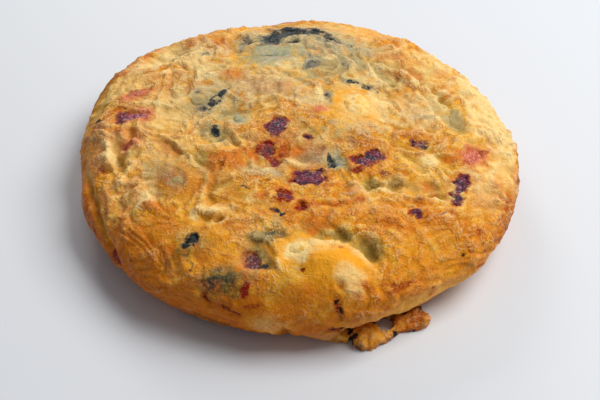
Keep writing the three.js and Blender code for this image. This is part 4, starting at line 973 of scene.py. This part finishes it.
def skin_colour(tree, coordinates):
    """Fried egg as browned as the "fried" attribute says, with each tint laid over it in ragged patches, and
    painted highlights of cream glints on the crests after some tints.
    """
    crests, grains, strength = crinkles(tree, coordinates)
    fine = mottling(tree, coordinates, 0.6, -0.19, 0.19, MOST_NOISE)
    fine = add(tree, "Math", [fine, add(tree, "MapRange", [crests, 0, 1, -0.17, 0.09])])
    # The grains' middles are a little paler, a small painted glint.
    fine = add(tree, "Math", [fine, add(tree, "MapRange", [grains, 0, 1, 0.07, -0.07])])
    shown = add(tree, "MapRange", [strength, 0, 1, 0.25, 1])
    fine = add(tree, "Math", [fine, shown], operation="MULTIPLY")
    browned = add(tree, "Math", [add(tree, "Attribute", output="Fac", attribute_name="fried"), fine])
    for width, share in SPECKS:
        speck = mottling(tree, coordinates, width, -share, share, MOST_NOISE, swirl=1.0)
        browned = add(tree, "Math", [browned, speck])
    hue = mottling(tree, coordinates, 1.0, 0.489, 0.504, detail=5.0)
    depth = mottling(tree, coordinates, 0.8, 0.88, 1.14, detail=4.0)
    inputs = {"Hue": hue, "Saturation": depth, "Color": add(tree, "ValToRGB", [browned], stops=FRIED)}
    colour = add(tree, "HueSaturation", inputs)
    for tint, shade, width, raggedness in TINTS:
        amount = add(tree, "Attribute", output="Fac", attribute_name=tint)
        broken = mottling(tree, coordinates, width, 0.5 - raggedness, 0.5 + raggedness)
        broken = add(tree, "Math", [broken, amount], operation="MULTIPLY")
        ends = (0.3, 1.2) if tint in CRISP_EDGED else (0.1, 1.6)
        covered = add(tree, "MapRange", [add(tree, "Math", [broken, amount]), *ends, 0, 1])
        colour = add(tree, "Mix", {0: covered, 6: colour, 7: shade}, 2, data_type="RGBA")
        # Painted highlight: cream glints where the crests and grains stand highest.
        if tint in PAINTED_GLINTS:
            low, most = PAINTED_GLINTS[tint]
            painted_glint = add(tree, "Math", [crests, add(tree, "MapRange", [grains, 0, 1, 0, 0.5])])
            painted_glint = add(tree, "MapRange", [painted_glint, low, low + 0.35, 0, most])
            painted_glint = add(tree, "Math", [painted_glint, strength], operation="MULTIPLY")
            colour = add(tree, "Mix", {0: painted_glint, 6: colour, 7: "FFE4AC"}, 2, data_type="RGBA")
    return colour


def dress(tree, shader, coordinates, colour, roughness, grains, height=0.0):
    """Links a colour and a roughness to the shader, and bump from (width, depth) grains in millimetres on
    top of any other height."""
    for width, depth in grains:
        height = add(tree, "Math", [mottling(tree, coordinates, width, 0, depth * MM, MOST_NOISE), height])
    bump = add(tree, "Bump", {"Height": height, "Distance": 1.0, "Strength": 1.0})
    for name, value in (("Base Color", colour), ("Roughness", roughness), ("Normal", bump)):
        tree.links.new(value, shader.inputs[name])


EGG_SURFACE = {
    "Subsurface Weight": 0.1,
    "Subsurface Scale": 2.0 * MM,
    "Subsurface Radius": (1.0, 0.55, 0.2),
    "IOR": 1.42,
    "Specular IOR Level": 0.26,
    "Specular Tint": "FFDEA4",
}
egg_finish, tree, shader, coordinates = new_material("fried set egg", EGG_SURFACE)
crests, grains, strength = crinkles(tree, coordinates)
crests = add(tree, "MapRange", [crests, 0, 1, 0, 0.86])
raised = add(tree, "Math", [crests, add(tree, "MapRange", [grains, 0, 1, 0, 0.14])])
shown = add(tree, "MapRange", [strength, 0, 1, 0.25, 1])
raised = add(tree, "Math", [raised, shown], operation="MULTIPLY")
shine = add(tree, "MapRange", [raised, 0, 1, 0.05, -0.12])
dull = add(tree, "Math", [mottling(tree, coordinates, 3.0, 0.4, 0.6), shine])
height = add(tree, "MapRange", [raised, 0, 1, 0, 0.4 * MM])
EGG_GRAINS = [(3.4, 0.3), (1.5, 0.16), (0.65, 0.1)]
dress(tree, shader, coordinates, skin_colour(tree, coordinates), dull, EGG_GRAINS, height)


def finish_piece(mesh, name, finish, slot, *nodes):
    """Makes the object for a finished mesh, smooth-shaded, which stands for its CAD nodes."""
    piece = bpy.data.objects.new(name, mesh)
    bpy.context.scene.collection.objects.link(piece)
    mesh.materials.clear()
    mesh.materials.append(finish)
    mesh.polygons.foreach_set("use_smooth", np.ones(len(mesh.polygons), bool))
    mesh.update()
    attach(piece, "root")
    if nodes:
        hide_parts(*nodes)
    return piece


finish_piece(egg_mesh, "omelette", egg_finish, "egg", "egg")


# Chorizo: small pieces of cured red sausage with white fat, fried in the egg until they darken to
# purple-red at their edges. Each lies flush in the top with the egg set round it.
# How fine the pieces' cells are.
VOXEL = 0.4


def softened(mesh, voxel, rounds):
    """A mesh in millimetres made again of even small cells, then smoothed."""
    holder = bpy.data.objects.new("holder", mesh)
    bpy.context.scene.collection.objects.link(holder)
    remesh = holder.modifiers.new("cells", "REMESH")
    remesh.mode, remesh.voxel_size = "VOXEL", voxel
    fresh = bpy.data.meshes.new_from_object(holder.evaluated_get(bpy.context.evaluated_depsgraph_get()))
    bpy.data.objects.remove(holder)
    smooth = bmesh.new()
    smooth.from_mesh(fresh)
    axes = {"use_axis_x": True, "use_axis_y": True, "use_axis_z": True}
    for _ in range(rounds):
        bmesh.ops.smooth_vert(smooth, verts=smooth.verts, factor=0.5, **axes)
    smooth.to_mesh(fresh)
    smooth.free()
    return fresh


def places_of(mesh):
    """The places of a mesh's vertices and the way they face."""
    found = np.empty(len(mesh.vertices) * 3)
    mesh.vertices.foreach_get("co", found)
    normals = np.empty(len(mesh.vertices) * 3)
    mesh.vertex_normals.foreach_get("vector", normals)
    return found.reshape(-1, 3), normals.reshape(-1, 3)


skin_points = kdtree.KDTree(len(places))
for i, place in enumerate(shaped):
    skin_points.insert(place, i)
skin_points.balance()


def piece_from(node, grains):
    """A detailed piece in the shape of a CAD node: softened, uneven by (width, height) grains, and sunk.
    It has the tints of the skin next to it, and its "inner" attribute is 1 away from the edge."""
    _, _, sink = INLAYS[node]
    solid = cad_copy(node)
    bmesh.ops.scale(solid, vec=(1 / MM,) * 3, verts=solid.verts)
    mesh = bpy.data.meshes.new(node + "_cut")
    solid.to_mesh(mesh)
    mesh = softened(mesh, VOXEL, 3)
    found, normals = places_of(mesh)
    middle = found.mean(0)
    facing = skin_at(middle[:2])[1]
    half_way = strayed(found) - facing * ((found - middle) @ facing)[:, None]
    inward = depths_in(solid, half_way)
    near = [skin_points.find(place)[1] for place in found]
    inner = rise(0.2, 1.8, inward + 0.8 * rough(found, 2.6, 60))
    carry(mesh, {**{tint: amount[near] for tint, amount in tints.items()}, "inner": inner})
    height = sum(height * rough(found, width, 20 + i) for i, (width, height) in enumerate(grains))
    found = found + normals * (height - 0.1)[:, None]
    found[:, 2] -= sink
    mesh.vertices.foreach_set("co", (found * MM).ravel())
    return mesh


def set_in(tree, coordinates, own):
    """A piece's own colour within, which gives way to the skin's colours in a broken line at its edge."""
    inner = add(tree, "Attribute", output="Fac", attribute_name="inner")
    inner = add(tree, "Math", [inner, mottling(tree, coordinates, 0.9, -0.4, 0.4)])
    shares = {0: add(tree, "MapRange", [inner, 0.2, 0.8, 0, 1]), 6: skin_colour(tree, coordinates), 7: own}
    return add(tree, "Mix", shares, 2, data_type="RGBA")


def lay_in(kind, name, count, grains, finishes):
    """Makes the pieces of one kind, each from its CAD node and in the finish of its look."""
    for number in range(1, count + 1):
        node = f"{kind}_{number}"
        finish = finishes[INLAYS[node][0]]
        finish_piece(piece_from(node, grains), f"{name}_{number}", finish, kind, node)


def meat_finish(name, lean, dark, fat, fat_share):
    """Cured sausage: lean meat that is dark where it fried, with specks of fat 0.5 to 1.5 mm across."""
    surface = {"Subsurface Weight": 0.08, "Subsurface Scale": 1.2 * MM, "IOR": 1.45}
    finish, tree, shader, coordinates = new_material(name, surface)
    browned = mottling(tree, coordinates, 2.4, 0, 1, (0.42, 0.56), swirl=0.6)
    meat = add(tree, "Mix", {0: browned, 6: lean, 7: dark}, 2, data_type="RGBA")
    dots = [grains_of(tree, coordinates, 0.9), mottling(tree, coordinates, 2.0, -0.4, 0.4)]
    fatty = [add(tree, "Math", dots), 0.85 - fat_share, 1.25 - fat_share, 0, 0.7]
    shares = {0: add(tree, "MapRange", fatty), 6: meat, 7: fat}
    meat = set_in(tree, coordinates, add(tree, "Mix", shares, 2, data_type="RGBA"))
    oily = mottling(tree, coordinates, 1.5, 0.22, 0.42)
    dress(tree, shader, coordinates, meat, oily, [(1.2, 0.3), (0.6, 0.2)])
    return finish


chorizo = {
    "purple": meat_finish("fried chorizo, purple", "821232", "280E2E", "B294AC", 0.12),
    "red": meat_finish("fried chorizo, red", "8E0C0E", "3C0610", "C0664E", 0.0),
    "rosy": meat_finish("fried chorizo, rosy", "AE4E5C", "7A2C52", "E4B0A4", 0.2),
    "pink": meat_finish("fried ham sausage, pink", "E87C5A", "CC543A", "FACCB6", 0.2),
    "brown": meat_finish("fried chorizo, browned", "94483A", "54263A", "C4A088", 0.15),
}
lay_in("chorizo", "chorizo_piece", 12, [(3.2, 0.25), (1.2, 0.14)], chorizo)


# Courgette skin: strips and curls of cooked dark green peel, almost black where they lie folded, with
# a wet shine. They are set edge-up or flat in the top.
def mottled_finish(name, surface, width, stops, gloss, grains):
    """A wet finish, mottled in lumps of that width through its (place, colour) stops. Gloss is the width of
    the duller spots and the least and most roughness."""
    finish, tree, shader, coordinates = new_material(name, surface)
    lumps = mottling(tree, coordinates, width, 0, 1, (0, 1))
    colour = set_in(tree, coordinates, add(tree, "ValToRGB", [lumps], stops=stops))
    dress(tree, shader, coordinates, colour, mottling(tree, coordinates, *gloss), grains)
    return finish


PEEL_GREENS = [(0.4, "0E1418"), (0.54, "1A2426"), (0.66, "34403E"), (0.76, "5A685C")]
PEEL_SURFACE = {"IOR": 1.45, "Specular IOR Level": 0.35}
PEEL_GRAINS = [(1.4, 0.2), (0.5, 0.08)]
peel = mottled_finish(
    "cooked courgette peel", PEEL_SURFACE, 1.8, PEEL_GREENS, (1.5, 0.22, 0.45), PEEL_GRAINS
)
lay_in("courgette_skin", "courgette_peel", 6, [(3, 0.3), (1.2, 0.12)], {"curl": peel, "peel": peel})

# Courgette flesh: pale grey-green slices, cooked until wet and half clear, with the egg's gold
# showing through where they are thin.
FLESH_SURFACE = {"Subsurface Weight": 0.25, "Subsurface Scale": 2.5 * MM, "IOR": 1.4}
SOFT_GRAINS = [(1.8, 0.2), (0.7, 0.1)]
FLESH = {
    "flesh": ("flesh", [(0.34, "868A70"), (0.46, "9A9C78"), (0.56, "B0A878"), (0.68, "C09A54")]),
    "dark": ("dark", [(0.34, "424A4A"), (0.46, "565A52"), (0.56, "766F56"), (0.68, "988456")]),
    "dim": ("browned", [(0.34, "98885A"), (0.46, "AC965C"), (0.56, "BEA25E"), (0.68, "CCA04C")]),
}
courgette = {
    look: mottled_finish("cooked courgette, " + name, FLESH_SURFACE, 2.8, stops, (2, 0.28, 0.5), SOFT_GRAINS)
    for look, (name, stops) in FLESH.items()
}
lay_in("courgette_flesh", "courgette_slice", 5, [(4, 0.15), (1.6, 0.1)], courgette)

# Potato: soft boiled and fried pieces, waxy and pale yellow, that show where the egg ran off them.
POTATO_SURFACE = {"Subsurface Weight": 0.2, "Subsurface Scale": 2.5 * MM, "IOR": 1.4}
POTATO = {
    "waxy": ("waxy potato", [(0.32, "E8AE42"), (0.45, "FFCB60"), (0.58, "FFE096"), (0.7, "E8A440")]),
    "chip": (
        "potato slice, browned", [(0.32, "94804E"), (0.45, "AA9258"), (0.58, "BC9C58"), (0.7, "BE8C40")]
    ),
}
potato = {
    look: mottled_finish("fried " + name, POTATO_SURFACE, 3.2, stops, (2.2, 0.32, 0.5), SOFT_GRAINS)
    for look, (name, stops) in POTATO.items()
}
lay_in("potato", "potato_piece", 3, [(4, 0.15), (1.6, 0.1)], potato)

# The crisp scrap: egg that ran out under the omelette's edge and fried by itself into a thin wavy
# lace, gold on top and dark brown where it is thinnest. It has two lobes, a slit and a hole.
SCRAP_EDGE = [
    (-9, -69), (-3, -74), (4, -77), (10, -79.4), (15.5, -80.8), (18.4, -81), (18.9, -79.6), (19.9, -79.8),
    (20.2, -82.2), (23.6, -83.6), (27.6, -82.4), (31, -80.2), (33.6, -78.2), (36.4, -75.8), (40.6, -75),
    (44.8, -73.2), (46.6, -70.8), (44.6, -67.6), (37, -64), (14, -66),
]
SCRAP_HOLE = [(27, -70.2), (27.6, -73.6), (28.8, -75.8), (31, -77.2), (33.2, -76), (33.8, -70)]
SCRAP_THICKNESS = 3.2
SCRAP_SMOOTHING = 0.4
# Where it is puffed up: the middle, the reach, the height.
SCRAP_LUMPS = [
    (24, -77, 6.5, 2.1), (27.4, -79.5, 4, 0.7), (22.6, -80.5, 2.6, 0.8), (36, -72.5, 3.2, 1.1),
    (40, -71, 4, 0.9), (44, -71.5, 2.6, 1), (41.5, -68.4, 2.8, 1.7), (9, -76, 9, 2.6), (13, -77, 6, 2.6),
    (16, -79, 3.5, 0.8),
]
# Where it is burnt, and where painted shadow stands for the shade under the omelette's edge: the middle, the
# reach, how strongly.
BURNT_AND_SHADE_SPOTS = [
    (34.4, -77.6, 1.3, 1), (42, -67.6, 2.4, 0.7), (38.6, -67.4, 2, 0.6), (18.9, -76.2, 1.7, 1),
    (19.4, -78.6, 1.3, 1), (20.4, -80.6, 1.2, 1), (17, -73.4, 3, 0.9), (22, -72.6, 3, 0.8),
    (27, -72.6, 2.4, 0.8), (34.6, -69.6, 2, 0.5), (41, -75.6, 1, 0.9), (22, -83.4, 1.6, 0.5),
]


def loop(mesh, corners, steps):
    """Adds a smooth closed line through the corners, and returns its edges."""
    count = len(corners)
    points = []
    for i in range(count):
        before, start, end, after = [Vector(corners[(i + k) % count]) for k in (-1, 0, 1, 2)]
        for step in range(steps):
            t = step / steps
            ahead = -before + 3 * start - 3 * end + after
            bend = 2 * before - 5 * start + 4 * end - after
            points.append((2 * start + (end - before) * t + bend * t**2 + ahead * t**3) / 2)
    verts = [mesh.verts.new((point.x, point.y, 0)) for point in points]
    return [mesh.edges.new((verts[i], verts[(i + 1) % len(verts)])) for i in range(len(verts))]


lace = bmesh.new()
lines = loop(lace, SCRAP_EDGE, 6) + loop(lace, SCRAP_HOLE, 5)
bmesh.ops.triangle_fill(lace, edges=lines, use_beauty=True, normal=(0, 0, 1))
raised = bmesh.ops.extrude_face_region(lace, geom=lace.faces[:])["geom"]
top_verts = [part for part in raised if isinstance(part, bmesh.types.BMVert)]
bmesh.ops.translate(lace, verts=top_verts, vec=(0, 0, SCRAP_THICKNESS - SCRAP_SMOOTHING))
bmesh.ops.recalc_face_normals(lace, faces=lace.faces)
scrap_mesh = bpy.data.meshes.new("scrap_cut")
lace.to_mesh(scrap_mesh)
lace.free()
scrap_mesh = softened(scrap_mesh, VOXEL, 2)
found, normals = places_of(scrap_mesh)
# Its underside stays flat, and its top is lifted in broad lumps and rippled into curds.
upper = rise(0, SCRAP_THICKNESS - 0.6, found[:, 2])
lift = 0.7 * rough(found, 5, 30) + 0.5 * rough(found, 2.2, 31)
for x, y, reach, height in SCRAP_LUMPS:
    lift = lift + height * bell(np.hypot(found[:, 0] - x, found[:, 1] - y) / reach)
found[:, 2] += upper * lift
ripple = 0.45 * rough(found, 2.8, 32) + 0.5 * (0.5 - curds(found, 1.7, 37)) + 0.2 * rough(found, 0.9, 33)
found += normals * ripple[:, None]
found[:, 2] = np.clip(found[:, 2], 0, None)
scrap_mesh.vertices.foreach_set("co", (found * MM).ravel())
burnt_and_shade = np.zeros(len(found))
for x, y, reach, strength in BURNT_AND_SHADE_SPOTS:
    gap = np.hypot(found[:, 0] - x, found[:, 1] - y) / reach + 0.3 * rough(found, 1.8, 34)
    burnt_and_shade = np.maximum(burnt_and_shade, strength * (1 - rise(0.5, 1.3, gap)))
low = 1 - rise(0.4, 2.4, found[:, 2])
right_lobe = rise(30, 36, found[:, 0])
# The ripples' crests are paler and less browned, partly as painted highlight.
scrap_shares = {
    "fried": 0.46 + 0.16 * rough(found, 4, 35) + 0.3 * low + 0.06 * right_lobe - 0.2 * ripple,
    "orange": 0.25 + 0.3 * right_lobe + 0.3 * rough(found, 5, 36),
    "red": 0.3 * low * rise(16, 20, found[:, 0]) + 0.8 * burnt_and_shade * (1 - burnt_and_shade),
    "pale": 0.7 * np.clip(ripple - 0.05, 0, 1),
    "yellow": 0.6 * (1 - rise(28, 33, found[:, 0])),
    "wrinkled": np.full(len(found), 0.8),
    "burnt_and_shade": burnt_and_shade,
}
carry(scrap_mesh, {name: np.clip(amount, 0, 1) for name, amount in scrap_shares.items()})

CRISP_SURFACE = {
    "Subsurface Weight": 0.08,
    "Subsurface Scale": 1.5 * MM,
    "IOR": 1.42,
    "Specular IOR Level": 0.35,
}
crisp_egg, tree, shader, coordinates = new_material("crisp fried egg", CRISP_SURFACE)
crisp_gloss = mottling(tree, coordinates, 1.6, 0.28, 0.5)
dress(tree, shader, coordinates, skin_colour(tree, coordinates), crisp_gloss, [(1.3, 0.4), (0.6, 0.22)])
finish_piece(scrap_mesh, "crisp_scrap", crisp_egg, "egg", "egg")
